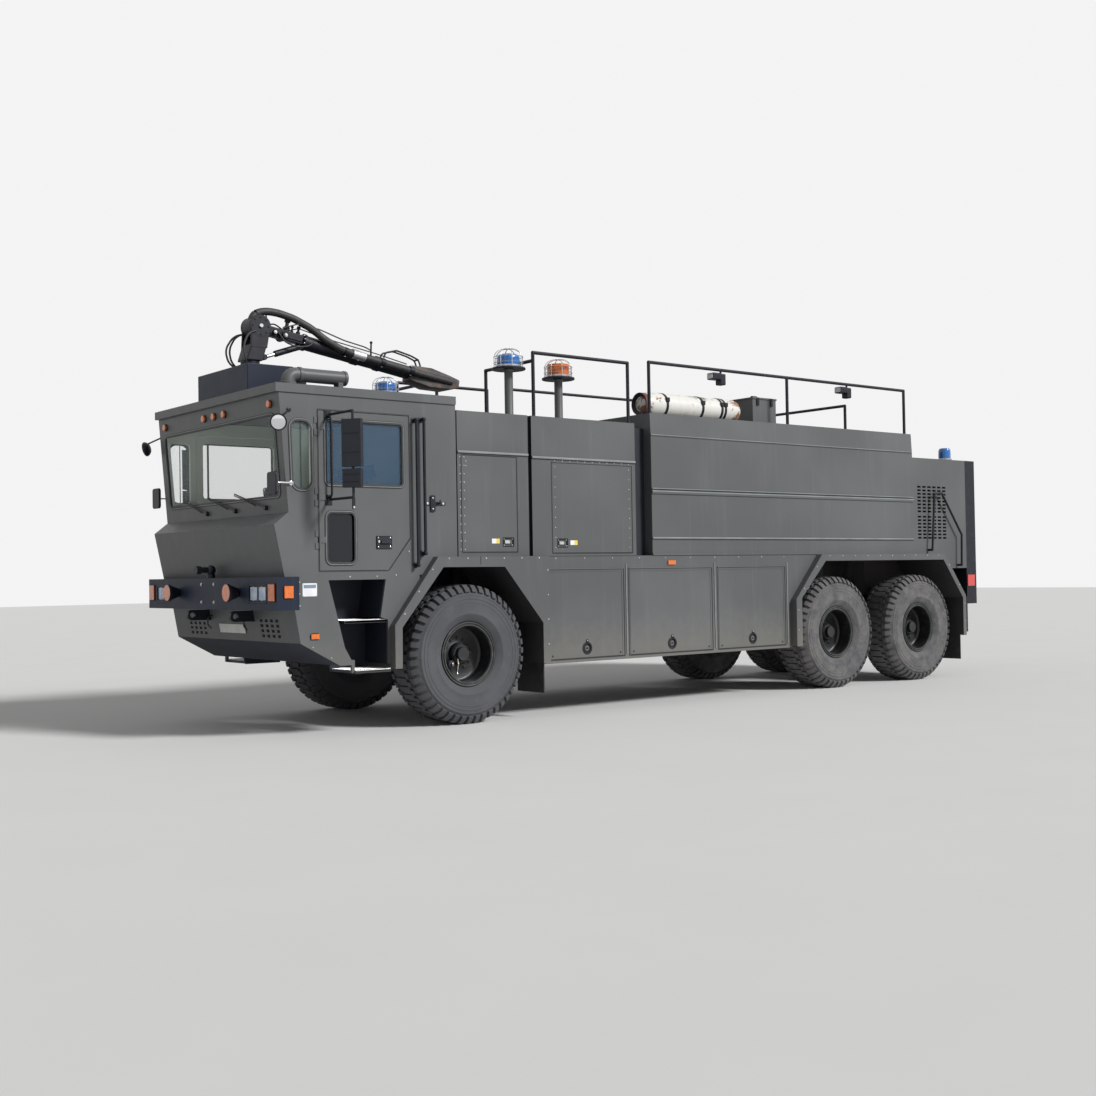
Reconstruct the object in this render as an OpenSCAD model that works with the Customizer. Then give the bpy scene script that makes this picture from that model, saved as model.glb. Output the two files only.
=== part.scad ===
// Airport fire truck with three driven axles, an engine at the rear and a
// monitor on the cab roof. Millimetres, +X forward, +Y left, +Z up, with the
// ground at Z 0. A place along the truck is given as s, the distance behind
// the bumper's face.

/* [Body] */
// Width over the side panels
body_w = 2876; // [2800:2:2940]
// Rearmost face, behind the bumper's face
rear_end = 11500; // [11460:10:11600]
// Top of the deck that carries tank, lockers and upper panels
deck_top = 1785; // [1775:5:1795]
// Thickness of the deck plate
deck_t = 80; // [60:5:100]
// Running gap around a door
door_gap = 6; // [5.5:0.5:8]
// Thickness of a locker door
locker_door_t = 25; // [20:1:32]
// Sheet wall of lockers and engine box
sheet_t = 30; // [20:2:36]
// Gap between seated pieces
seat_gap = 0.3; // [0.2:0.05:0.4]

/* [Wheels] */
// Tyre diameter over the lugs
tyre_d = 1490; // [1460:5:1500]
// Tyre width
tyre_w = 521; // [500:1:526]
// Bead seat diameter
bead_d = 635; // [620:5:640]
// Distance between the middle planes of left and right tyres
track = 2350; // [2330:5:2354]
// Front axle behind the bumper's face
front_axle_s = 2330; // [2320:5:2340]
// Middle axle behind the bumper's face
middle_axle_s = 8360; // [8350:5:8370]
// Distance between middle and rear axle
tandem_spacing = 1780; // [1770:5:1790]
// Wheel spindle radius
spindle_r = 45; // [40:1:55]
// King pin radius
king_pin_r = 25; // [20:1:30]
// King pin axis from the truck's middle
king_pin_y = 1000; // [990:5:1010]

/* [Frame] */
// Outer face of a frame rail from the truck's middle
rail_y = 440; // [430:5:450]
// Width of a frame rail's flange
rail_w = 80; // [70:5:90]
// Underside of the frame rails
rail_z = 950; // [945:5:955]
// Height of the frame rails
rail_h = 250; // [240:10:260]
// Wall of the frame rails
rail_t = 12; // [8:1:16]
// Bore of the tow eyes
tow_eye_d = 60; // [40:2:70]
// Thickness of the tow plates
tow_plate_t = 40; // [30:2:50]

/* [Cab] */
// Rear face of the cab
cab_rear = 2165; // [2155:5:2170]
// Underside of the cab
cab_floor_z = 1600; // [1595:1:1605]
// Top of the cab roof
roof_z = 3479; // [3470:1:3490]
// Thickness of cab walls and cab doors
cab_wall = 50; // [40:2:56]
// Thickness of the window panes
pane_t = 10; // [6:1:14]
// Front edge of the cab door
door_s0 = 522; // [516:1:528]
// Rear edge of the cab door
door_s1 = 1572; // [1560:1:1580]
// Lower edge of the cab door
door_z0 = 1655; // [1653:1:1660]
// Upper edge of the cab door
door_z1 = 3235; // [3225:1:3245]

/* [Superstructure] */
// Top of the upper body panels
upper_top = 3340; // [3325:1:3350]
// Rear face of the upper body panels
upper_rear = 4720; // [4710:2:4730]
// Front face of the tank
tank_front = 4980; // [4970:2:4990]
// Rear face of the tank
tank_rear = 10010; // [10000:2:10020]
// Top of the tank
tank_top = 3480; // [3465:1:3495]
// Top of the engine box
engine_top = 3150; // [3140:2:3160]
// Depth of the cowl behind the engine box
cowl_depth = 234; // [230:2:240]
// Hinge rod radius of the locker doors
rod_r = 7; // [6:0.5:8]
// Radius of the handrail tubes
tube_r = 20; // [16:1:22]

/* [Monitor] */
// Yaw axis behind the bumper's face
yaw_s = 420; // [410:2:430]
// Yaw axis from the truck's middle
yaw_y = 190; // [180:2:200]
// Height of the elevation pin
pivot_z = 4240; // [4230:2:4250]
// Elevation pin behind the bumper's face
pivot_s = 490; // [484:2:496]
// Top of the monitor's housing
housing_top = 3760; // [3750:2:3770]

/* [Hidden] */
$fn = 48;

// Colours
olive = [0.27, 0.27, 0.23];
black = [0.08, 0.08, 0.09];
steel = [0.55, 0.56, 0.57];

// Half width, and the reach of what stands ahead of the bumper
half_w = body_w / 2;
lamp_reach = 140;
engine_rear = rear_end - cowl_depth - 6;
mid_s = (rear_end - lamp_reach) / 2;
tyre_r = tyre_d / 2;
tyre_y = track / 2;
bead_r = bead_d / 2;
rear_axle_s = middle_axle_s + tandem_spacing;
rail_top = rail_z + rail_h;
run_gap = 0.05;

// Turns a distance behind the bumper's face into a place along X
function at_s(s) = mid_s - s;

// A unit vector, and a corner of an outline cut back to an arc of radius r
function unit(v) = v / norm(v);
function corner(a, p, b, r, n) =
    let (u = unit(a - p), v = unit(b - p),
         half = acos(u * v) / 2,
         c = p + unit(u + v) * r / sin(half),
         p0 = p + u * r / tan(half) - c, p1 = p + v * r / tan(half) - c,
         a0 = atan2(p0[1], p0[0]), turn = atan2(p1[1], p1[0]) - a0,
         sweep = turn > 180 ? turn - 360 : turn < -180 ? turn + 360 : turn)
    [for (i = [0:n]) c + r * [cos(a0 + sweep * i / n), sin(a0 + sweep * i / n)]];
// An outline with every corner rounded
function rounded(pts, r, n = 4) =
    let (m = len(pts))
    [for (i = [0:m - 1]) each corner(pts[(i + m - 1) % m], pts[i], pts[(i + 1) % m], r, n)];
// The four corners of a box outline
function frame4(s0, s1, z0, z1) = [[s0, z0], [s1, z0], [s1, z1], [s0, z1]];

// Box between two places along the truck, two sides and two heights
module sbox(s0, s1, y0, y1, z0, z1) {
    translate([at_s(s1), y0, z0]) cube([s1 - s0, y1 - y0, z1 - z0]);
}

// Outline in (s, z), drawn out across the truck from y0 to y1
module across(y0, y1, pts) {
    translate([mid_s, y1, 0]) rotate([90, 0, 0]) mirror([1, 0, 0])
        linear_extrude(y1 - y0) polygon(pts);
}

// Outline in (y, z), drawn out along the truck from s0 to s1
module along(s0, s1, pts) {
    translate([at_s(s1), 0, 0]) rotate([90, 0, 90]) linear_extrude(s1 - s0) polygon(pts);
}

// Round bars along the three axes
module ybar(s, y0, y1, z, r) {
    translate([at_s(s), y1, z]) rotate([90, 0, 0]) cylinder(r = r, h = y1 - y0);
}
module xbar(s0, s1, y, z, r) {
    translate([at_s(s1), y, z]) rotate([0, 90, 0]) cylinder(r = r, h = s1 - s0);
}
module zbar(s, y, z0, z1, r) {
    translate([at_s(s), y, z0]) cylinder(r = r, h = z1 - z0);
}

// Round bar between two points given as [s, y, z]
module rod(a, b, r) {
    v = [a[0] - b[0], b[1] - a[1], b[2] - a[2]];
    translate([at_s(a[0]), a[1], a[2]])
        rotate([0, acos(v[2] / norm(v)), atan2(v[1], v[0])]) cylinder(r = r, h = norm(v), $fn = 16);
}

// Tube through points given as [s, y, z], with a ball at each bend
module tube(pts, r) {
    for (i = [0:len(pts) - 2]) rod(pts[i], pts[i + 1], r);
    if (len(pts) > 2)
        for (i = [1:len(pts) - 2])
            translate([at_s(pts[i][0]), pts[i][1], pts[i][2]]) sphere(r = r * 1.04, $fn = 16);
}

// A piece on one side of the truck, 1 for left and -1 for right, or on both
module on_side(side) {
    if (side > 0) children();
    else mirror([0, 1, 0]) children();
}
module both_sides() {
    children();
    mirror([0, 1, 0]) children();
}

// Body lines shared by neighbours
screen_z0 = 2227;
screen_z1 = 3376;
screen_s0 = 185;
screen_s1 = 95;
// The cab's front face above the nose leans forward towards the roof
function screen_s(z) = screen_s0 + (screen_s1 - screen_s0) * (z - screen_z0) / (screen_z1 - screen_z0);
nose_tip = [29, 2107];
nose_foot = [135, cab_floor_z];
panel_top_s = 240;
panel_knee = [300, 945];
panel_foot = [736, 709];

// Wheel arch lines: outer edge of the front flare and its opening
front_outer = [[1322, 651], [1322, 1092], [1861, deck_top], [3336, deck_top], [3336, 600]];
front_inner = [[1405, 600], [1410, 1065], [1925, 1676], [2722, 1672], [3238, 1053], [3238, 560]];
rear_outer = [[7405, 600], [7405, 1210], [7926, deck_top], [10600, deck_top], [11092, 1179], [11092, 600]];
rear_inner = [[7512, 560], [7512, 1221], [7998, 1700], [10573, 1700], [11022, 1147], [11022, 560]];
// The front flare's front edge at a height, and where it passes the cab's underside
function arch_front(z) = 1322 + (z - 1092) * (1861 - 1322) / (deck_top - 1092);
arch_front_s = arch_front(cab_floor_z);
// Where the rear flare's rear edge passes the engine box's underside
engine_floor_z = 1575;
arch_rear_s = 10600 + (deck_top - engine_floor_z) * (11092 - 10600) / (deck_top - 1179);

// Chassis

// Cross members: s, depth along the truck
cross_members = [[560, 120], [1500, 100], [3100, 100], [5000, 100], [7000, 100], [9190, 120],
    [engine_rear - 230, 120]];
// Tow plates: tip s, root s, y, centre z, width
tow_plates = [[0, 700, 514, 1207, 110], [rear_end - 20, rear_end - 480, 514, 980, 110]];
tow_slot_gap = 5;
// Cab mounts on the rails: s
cab_mounts = [700, 1200];

module rail_section() {
    difference() {
        sbox(500, engine_rear - 110, rail_y - rail_w, rail_y, rail_z, rail_top);
        sbox(499, engine_rear - 109, rail_y - rail_w - 1, rail_y - rail_t, rail_z + rail_t, rail_top - rail_t);
    }
}

module tow_plate(tip, root, y, z, w) {
    dir = tip < root ? 1 : -1;
    difference() {
        union() {
            sbox(min(tip + dir * w / 2, root), max(tip + dir * w / 2, root),
                y - tow_plate_t / 2, y + tow_plate_t / 2, z - w / 2, z + w / 2);
            ybar(tip + dir * w / 2, y - tow_plate_t / 2, y + tow_plate_t / 2, z, w / 2);
        }
        ybar(tip + dir * w / 2, y - tow_plate_t, y + tow_plate_t, z, tow_eye_d / 2);
    }
    sbox(min(root, root - dir * 120), max(root, root - dir * 120), rail_y - rail_t, y,
        z - w / 2 + 15, z + w / 2 - 15);
}

// Slot for a tow plate through a panel between two places
module tow_slot(t, s0, s1) {
    sbox(s0, s1, t[2] - tow_plate_t / 2 - tow_slot_gap, t[2] + tow_plate_t / 2 + tow_slot_gap,
        t[3] - t[4] / 2 - tow_slot_gap, t[3] + t[4] / 2 + tow_slot_gap);
}

module chassis_frame() {
    color(black) {
        both_sides() {
            rail_section();
            for (t = tow_plates) tow_plate(t[0], t[1], t[2], t[3], t[4]);
            // Cab mounts
            for (s = cab_mounts) zbar(s, rail_y - rail_w / 2, rail_top, cab_floor_z - 40, 35);
        }
        for (m = cross_members)
            sbox(m[0], m[0] + m[1], -rail_y + rail_t, rail_y - rail_t, rail_z + 40, rail_top - 40);
    }
}

// Springs and axles

axle_tube_r = 85;
spring_y = 400;
spring_w = 70;
leaf_t = 13;
spring_gap_z = rail_z - 30;
// Front spring leaves: half length of each leaf, top leaf first
front_leaves = [640, 540, 430, 320];
// Tandem spring leaves, bottom leaf first
tandem_leaves = [930, 760, 580, 400];

module front_spring() {
    for (i = [0:len(front_leaves) - 1])
        sbox(front_axle_s - front_leaves[i], front_axle_s + front_leaves[i],
            spring_y - spring_w / 2, spring_y + spring_w / 2,
            tyre_r + axle_tube_r + 60 - (i + 1) * leaf_t, tyre_r + axle_tube_r + 60 - i * leaf_t);
    // Hangers under the rail
    for (s = [front_axle_s - front_leaves[0] + 30, front_axle_s + front_leaves[0] - 30])
        sbox(s - 30, s + 30, spring_y - 30, spring_y + 30, tyre_r + axle_tube_r + 55, rail_z);
    sbox(front_axle_s - 70, front_axle_s + 70, spring_y - spring_w / 2, spring_y + spring_w / 2,
        tyre_r, tyre_r + axle_tube_r + 15);
}

module tandem_spring() {
    mid = middle_axle_s + tandem_spacing / 2;
    for (i = [0:len(tandem_leaves) - 1])
        sbox(mid - tandem_leaves[i], mid + tandem_leaves[i],
            spring_y - spring_w / 2, spring_y + spring_w / 2,
            tyre_r + axle_tube_r + 5 + i * leaf_t, tyre_r + axle_tube_r + 5 + (i + 1) * leaf_t);
    // Saddle that carries the pack under the rail
    sbox(mid - 130, mid + 130, spring_y - 38, spring_y + 38, tyre_r + axle_tube_r + 20, rail_z);
    for (s = [middle_axle_s, rear_axle_s])
        sbox(s - 60, s + 60, spring_y - spring_w / 2, spring_y + spring_w / 2,
            tyre_r, tyre_r + axle_tube_r + 8);
}

// Differential bowl with its nose towards the drive shaft
module differential(s) {
    ybar(s, -150, 150, tyre_r, 200);
    ybar(s, -230, 230, tyre_r, 140);
    xbar(s - 300, s, 0, tyre_r, 95);
}

yoke_h = 150;
knuckle_h = 110;

module axles() {
    color(black) {
        both_sides() {
            front_spring();
            tandem_spring();
            // Front yoke around the king pin
            difference() {
                union() {
                    ybar(front_axle_s, 200, king_pin_y - 90, tyre_r, axle_tube_r);
                    sbox(front_axle_s - 60, front_axle_s + 60, king_pin_y - 120, king_pin_y - 78,
                        tyre_r - yoke_h, tyre_r + yoke_h);
                    for (z = [tyre_r - yoke_h, tyre_r + knuckle_h + seat_gap])
                        translate([at_s(front_axle_s), 0, z]) {
                            translate([0, king_pin_y, 0]) cylinder(r = 50, h = yoke_h - knuckle_h - seat_gap);
                            translate([-60, king_pin_y - 120, 0])
                                cube([120, 120, yoke_h - knuckle_h - seat_gap]);
                        }
                }
                zbar(front_axle_s, king_pin_y, tyre_r - yoke_h - 1, tyre_r + yoke_h + 1,
                    king_pin_r + run_gap);
            }
            for (s = [middle_axle_s, rear_axle_s]) {
                ybar(s, 200, tyre_y - 180, tyre_r, axle_tube_r);
                ybar(s, tyre_y - 181, tyre_y + 60, tyre_r, spindle_r);
                ybar(s, tyre_y - 200, tyre_y - 160, tyre_r, 130);
            }
        }
        for (s = [front_axle_s, middle_axle_s, rear_axle_s]) differential(s);
    }
}

// Knuckle: swivel block, spindle and steering arm
arm_s = 300;
arm_y = 860;
arm_z = 640;
module knuckle(side) {
    color(black) on_side(side) {
        zbar(front_axle_s, king_pin_y, tyre_r - knuckle_h, tyre_r + knuckle_h, 58);
        zbar(front_axle_s, king_pin_y, tyre_r - yoke_h, tyre_r + yoke_h, king_pin_r);
        ybar(front_axle_s, king_pin_y, tyre_y + 60, tyre_r, spindle_r);
        ybar(front_axle_s, king_pin_y + 56, king_pin_y + 85, tyre_r, 130);
        // Arm for the tie rod
        difference() {
            union() {
                sbox(front_axle_s, front_axle_s + 110, king_pin_y - 30, king_pin_y + 30, arm_z, arm_z + 34);
                rod([front_axle_s + 90, king_pin_y, arm_z + 17], [front_axle_s + arm_s, arm_y, arm_z + 17], 17);
                zbar(front_axle_s + arm_s, arm_y, arm_z, arm_z + 34, 34);
            }
            zbar(front_axle_s + arm_s, arm_y, arm_z - 1, arm_z + 35, 14 + run_gap);
        }
    }
}

// Tie rod between the two steering arms, its pins pointing up
module tie_rod() {
    color(black) {
        ybar(front_axle_s + arm_s, -arm_y, arm_y, arm_z - 26, 20);
        zbar(front_axle_s + arm_s, arm_y, arm_z - 40, arm_z - seat_gap, 28);
        zbar(front_axle_s + arm_s, arm_y, arm_z - 20, arm_z + 34, 14);
        zbar(front_axle_s + arm_s, -arm_y, arm_z - 40, arm_z - seat_gap, 28);
    }
}

// Wheels

// Wheel places: name, s, side
wheel_places = [["front_left", front_axle_s, 1], ["front_right", front_axle_s, -1],
    ["middle_left", middle_axle_s, 1], ["middle_right", middle_axle_s, -1],
    ["rear_left", rear_axle_s, 1], ["rear_right", rear_axle_s, -1]];

// A profile of (r, y) turned about a wheel's own axis; y grows outwards
module wheel_turn(s, side, pts) {
    on_side(side) translate([at_s(s), tyre_y, tyre_r]) rotate([-90, 0, 0])
        rotate_extrude($fn = 96) polygon(pts);
}

flange_y = 190;
flange_t = 25;
flange_r = 345;
// Half of the tyre's section: r, y as a share of half the width
tyre_half = [[bead_r + seat_gap, flange_y - seat_gap], [flange_r + 5, flange_y - seat_gap],
    [flange_r + 6, flange_y + 12], [400, tyre_w / 2 - 22], [470, tyre_w / 2 - 4], [530, tyre_w / 2],
    [600, tyre_w / 2 - 5], [660, tyre_w / 2 - 18], [tyre_r - 45, tyre_w / 2 - 32],
    [tyre_r - 12, tyre_w / 2 - 46], [tyre_r, tyre_w / 2 - 75]];

module tyre(s, side) {
    n = len(tyre_half) - 1;
    color([0.2, 0.2, 0.21]) wheel_turn(s, side, concat(tyre_half,
        [for (i = [n:-1:0]) [tyre_half[i][0], -tyre_half[i][1]]]));
}

barrel_t = 22;
disc_y = 20;
disc_t = 24;
hub_r = 140;
hub_y = 165;
// Rim: barrel with flanges, disc, and hub with its cap
module rim(s, side) {
    in_r = bead_r - barrel_t;
    color(black) {
        wheel_turn(s, side, [[in_r, -flange_y - flange_t], [flange_r, -flange_y - flange_t],
            [flange_r, -flange_y], [bead_r, -flange_y], [bead_r, flange_y], [flange_r, flange_y],
            [flange_r, flange_y + flange_t], [in_r, flange_y + flange_t], [in_r, disc_y + disc_t],
            [hub_r, disc_y + disc_t], [hub_r, hub_y - 25], [hub_r - 20, hub_y], [70, hub_y],
            [62, hub_y + 22], [0, hub_y + 22], [0, 62], [spindle_r + run_gap, 62],
            [spindle_r + run_gap, disc_y - 60], [hub_r - 20, disc_y - 60], [hub_r - 20, disc_y],
            [in_r, disc_y]]);
    }
}

// Bumper and lamps

bumper_half = 1534;
bumper_z0 = 1277;
bumper_z1 = 1610;
lamp_box = [bumper_half - 604, bumper_half - 214, 1345, 1535];
lamp_depth = 60;
fog_y = 720;
fog_z = 1450;
fog_r = 85;

module bumper() {
    color(olive) difference() {
        sbox(0, panel_top_s, -bumper_half, bumper_half, bumper_z0, bumper_z1 - 10);
        both_sides() sbox(-1, lamp_depth, lamp_box[0], lamp_box[1], lamp_box[2], lamp_box[3]);
        // Hollow from below, behind the lamp pockets
        sbox(lamp_depth + 30, panel_top_s - 30, -bumper_half + 30, bumper_half - 30, bumper_z0 - 1,
            bumper_z1 - 40);
    }
}

// Beacon stands: s, y, foot z, flange z
beacon_stands = [[3000, 1280, upper_top, 3850], [3000, -1280, upper_top, 3850], [3830, 1130, upper_top, 3820]];
post_r = 48;
beacon_flange_r = 190;
dome_r = 130;
dome_h = 150;
// Work lamp posts: s, y, foot z, head z
work_lamps = [[6220, 1300, tank_top, 4070], [8650, 1300, tank_top, 3960]];
// Tail lamp boxes: s0, s1, z0, z1 for the box on each side of the cowl
tail_box = [engine_rear + 10, engine_rear + 180, 1310, 1475];

module lamp_housings() {
    color(black) {
        both_sides() {
            // Headlamp frames
            difference() {
                sbox(4, lamp_depth, lamp_box[0] + seat_gap, lamp_box[1] - seat_gap,
                    lamp_box[2] + seat_gap, lamp_box[3] - seat_gap);
                for (i = [0:1])
                    sbox(0, 30, lamp_box[0] + 22 + i * 180, lamp_box[0] + 186 + i * 180,
                        lamp_box[2] + 22, lamp_box[3] - 22);
            }
            // Fog lamp bowls
            translate([at_s(0), fog_y, fog_z]) rotate([0, 90, 0])
                rotate_extrude() polygon([[0, 0], [40, 0], [62, 50], [fog_r, 105],
                    [fog_r, lamp_reach - 12], [0, lamp_reach - 12]]);
        }
        for (b = beacon_stands) {
            zbar(b[0], b[1], b[2], b[3], post_r);
            zbar(b[0], b[1], b[3], b[3] + 25, beacon_flange_r);
        }
        for (w = work_lamps) {
            zbar(w[0], w[1], w[2], w[3], 18);
            sbox(w[0] - 40, w[0] + 40, w[1] - 60, w[1] + 60, w[3], w[3] + 90);
        }
    }
}

module lenses_clear() {
    color([0.85, 0.9, 0.95]) both_sides() for (i = [0:1])
        sbox(8, 30, lamp_box[0] + 22 + seat_gap + i * 180, lamp_box[0] + 186 - seat_gap + i * 180,
            lamp_box[2] + 22 + seat_gap, lamp_box[3] - 22 - seat_gap);
}

// Forehead markers: y
forehead_lamps = [-1250, -240, 0, 240, 1250];
forehead_z = 3290;
marker_r = 34;
module lenses_amber() {
    color([0.95, 0.5, 0.1]) {
        both_sides() {
            xbar(-lamp_reach, -lamp_reach + 12, fog_y, fog_z, fog_r);
            // Turn signals on the bumper's face and returns
            sbox(-14, 0, bumper_half - 159, bumper_half - 34, 1370, 1530);
            sbox(75, 170, bumper_half, bumper_half + 14, 1395, 1510);
            // Side markers on the front panel and the deck edge
            sbox(410, 500, half_w, half_w + 15, 985, 1035);
            sbox(5220, 5340, half_w, half_w + 15, 1675, 1725);
        }
        for (y = forehead_lamps)
            xbar(screen_s(forehead_z + marker_r) - seat_gap - 28, screen_s(forehead_z + marker_r) - seat_gap,
                y, forehead_z, marker_r);
        zbar(beacon_stands[2][0], beacon_stands[2][1], beacon_stands[2][3] + 25,
            beacon_stands[2][3] + 25 + dome_h, dome_r);
    }
}

module lenses_blue() {
    color([0.1, 0.3, 0.8]) {
        for (i = [0:1])
            zbar(beacon_stands[i][0], beacon_stands[i][1], beacon_stands[i][3] + 25,
                beacon_stands[i][3] + 25 + dome_h, dome_r);
        both_sides() zbar(engine_rear - 330, half_w - 108, engine_top, engine_top + 180, 88);
    }
}

module lenses_red() {
    color([0.8, 0.1, 0.1]) both_sides()
        sbox(tail_box[0], tail_box[1], half_w - 8, half_w + 12, tail_box[2], tail_box[3]);
}

// Lower front

panel_t = 30;
well_s0 = 614;
well_s1 = 1276;
well_y = 980;
// Vent holes on each side: first y, first z, columns, rows, pitch in y, pitch in z
vents = [650, 992, 4, 4, 113, 52];
vent_w = 60;
vent_h = 30;

module cab_base() {
    color(olive) {
        difference() {
            union() {
                // Front plate that follows the folds of the panel
                across(-half_w, half_w, [[panel_top_s, cab_floor_z - 40], [panel_top_s, bumper_z0],
                    panel_knee, panel_foot, [panel_foot[0] + 12, panel_foot[1] + 26],
                    [panel_knee[0] + panel_t, panel_knee[1] + 14], [panel_top_s + panel_t, bumper_z0],
                    [panel_top_s + panel_t, cab_floor_z - 40]]);
                // Top plate under the cab
                sbox(panel_top_s, arch_front(cab_floor_z - 40) - seat_gap, -half_w, half_w,
                    cab_floor_z - 40, cab_floor_z);
            }
            both_sides() {
                for (i = [0:vents[2] - 1]) for (j = [0:vents[3] - 1])
                    sbox(200, 400, vents[0] + i * vents[4], vents[0] + i * vents[4] + vent_w,
                        vents[1] + j * vents[5], vents[1] + j * vents[5] + vent_h);
                tow_slot(tow_plates[0], 200, 400);
            }
        }
        both_sides() {
            // Side cheek ahead of the step well
            across(half_w - panel_t, half_w, [[panel_top_s, cab_floor_z - 40], [panel_top_s, bumper_z0],
                panel_knee, panel_foot, [893, 709], [791, 883], [well_s0, cab_floor_z - 40]]);
            // Front wall, inner wall and floor of the step well
            across(well_y, half_w - panel_t, [[well_s0 - 25, cab_floor_z - 40], [766, 883], [868, 709],
                [893, 709], [791, 883], [well_s0, cab_floor_z - 40]]);
            across(well_y - 25, well_y, [[well_s0 - 25, cab_floor_z - 40], [766, 883], [868, 709],
                [893, 620], [1322 - seat_gap, 620], [1322 - seat_gap, 1092],
                [arch_front(cab_floor_z - 40) - seat_gap, cab_floor_z - 40]]);
            // Panel between the well and the wheel arch
            across(well_y, half_w, [[well_s1, cab_floor_z - 40], [1209, 1177], [1295, 1150], [1295, 700],
                [1322 - seat_gap, 700], [1322 - seat_gap, 1092],
                [arch_front(cab_floor_z - 40) - seat_gap, cab_floor_z - 40]]);
            // Steps
            sbox(800, 1295, well_y, half_w - 20, 1125, 1150);
            sbox(893, 1296, well_y, half_w + 40, 625, 650);
            // Hanger of the lower step
            sbox(866, 900, half_w - panel_t, half_w, 630, 760);
        }
    }
}

// Cab shell

cab_outer = [[nose_foot[0], cab_floor_z], nose_tip, [screen_s0, screen_z0], [screen_s1, screen_z1],
    [screen_s1, roof_z - 1], [cab_rear, roof_z - 1], [cab_rear, deck_top], [1861, deck_top],
    [arch_front_s, cab_floor_z]];
cab_inner = [[nose_foot[0] + cab_wall, cab_floor_z + cab_wall], nose_tip + [cab_wall + 6, -8],
    [screen_s0 + cab_wall + 3, screen_z0 - 18], [screen_s1 + cab_wall, roof_z - 85],
    [cab_rear - cab_wall, roof_z - 85], [cab_rear - cab_wall, deck_top + cab_wall],
    [1861 - 22, deck_top + cab_wall], [arch_front_s - 22, cab_floor_z + cab_wall]];
trim_z = 3393;
trim_out = 15;
screen_half = 1300;
screen_low = 2390;
screen_high = 3185;
// Corner window: s at the foot, s at the head, rear s, z0, z1
corner_win = [232, 207, 444, 2450, 3130];
// Windows of the cab door: s0, s1, z0, z1, corner radius
door_windows = [[600, 1500, 2507, 3150, 45], [602, 926, 1723, 2233, 60]];

function corner_window(g) = [[corner_win[0] + g, corner_win[3] + g], [corner_win[2] - g, corner_win[3] + g],
    [corner_win[2] - g, corner_win[4] - g], [corner_win[1] + g, corner_win[4] - g]];
function door_outline(g) = [[door_s0 + g, door_z0 + g], [1311 - g / 2, door_z0 + g],
    [door_s1 - g, 1980 + g / 2], [door_s1 - g, door_z1 - g], [door_s0 + g, door_z1 - g]];

// Cab door hinges: z of the middle of each barrel
hinge_zs = [1960, 2380, 3080];
hinge_s = door_s0 - 4;
hinge_y = half_w + 12;
barrel_r = 10;
barrel_h = 60;

module cab_shell() {
    color(olive) {
        difference() {
            union() {
                across(-half_w, half_w, cab_outer);
                sbox(56, cab_rear, -half_w - trim_out, half_w + trim_out, trim_z, roof_z);
            }
            across(-half_w + cab_wall, half_w - cab_wall, cab_inner);
            sbox(0, 240, -screen_half, screen_half, screen_low, screen_high);
            both_sides() {
                across(half_w - cab_wall - 1, half_w + 1, rounded(corner_window(0), 45));
                across(half_w - cab_wall - 1, half_w + 1, door_outline(-door_gap));
            }
        }
        // Hinge lugs on the front pillar, above and below each door barrel
        both_sides() for (z = hinge_zs) {
            for (dz = [-barrel_h * 1.5 - seat_gap, barrel_h / 2 + seat_gap]) {
                zbar(hinge_s, hinge_y, z + dz, z + dz + barrel_h, barrel_r);
                sbox(hinge_s - 46, hinge_s, half_w, hinge_y - 4, z + dz, z + dz + barrel_h);
            }
            zbar(hinge_s, hinge_y, z - barrel_h, z + barrel_h, 5);
        }
    }
}

module cab_glass() {
    g = seat_gap;
    color([0.7, 0.8, 0.8, 0.4]) {
        across(-screen_half + g, screen_half - g, [
            [screen_s(screen_low) + 14, screen_low + g], [screen_s(screen_high) + 14, screen_high - g],
            [screen_s(screen_high) + 14 + pane_t, screen_high - g],
            [screen_s(screen_low) + 14 + pane_t, screen_low + g]]);
        both_sides() across(half_w - 14 - pane_t, half_w - 14, rounded(corner_window(g), 45 - g));
    }
}

// Mirror frame on the cab door: bracket s, foot z, head z, reach
mirror_s = 640;
mirror_z = [2355, 3195];
mirror_reach = 1900;
mirror_r = 13;
mirror_turn = 35;

module cab_door(side) {
    color(olive) on_side(side) {
        difference() {
            across(half_w - cab_wall, half_w, door_outline(0));
            for (w = door_windows)
                across(half_w - cab_wall - 1, half_w + 1, rounded(frame4(w[0], w[1], w[2], w[3]), w[4]));
        }
        // Hinge barrels with their straps
        for (z = hinge_zs) difference() {
            union() {
                zbar(hinge_s, hinge_y, z - barrel_h / 2, z + barrel_h / 2, barrel_r);
                sbox(hinge_s, hinge_s + 70, half_w - 1, hinge_y - 4, z - barrel_h / 2, z + barrel_h / 2);
            }
            zbar(hinge_s, hinge_y, z - barrel_h, z + barrel_h, 5 + run_gap);
        }
        // Handle
        sbox(1170, 1350, half_w - 1, half_w + 8, 1870, 2000);
        sbox(1215, 1330, half_w + 7, half_w + 32, 1925, 1955);
        // Mirror frame and heads
        tube([[mirror_s - 15, half_w - 5, mirror_z[1]], [mirror_s, mirror_reach, mirror_z[1]],
            [mirror_s, mirror_reach, mirror_z[0]], [mirror_s - 15, half_w - 5, mirror_z[0]]], mirror_r);
        translate([at_s(mirror_s), mirror_reach, 0]) rotate([0, 0, 90 + mirror_turn]) {
            translate([-100, -45, 2650]) cube([200, 60, 460]);
            translate([-95, -45, 2450]) cube([190, 60, 180]);
        }
    }
}

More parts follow.
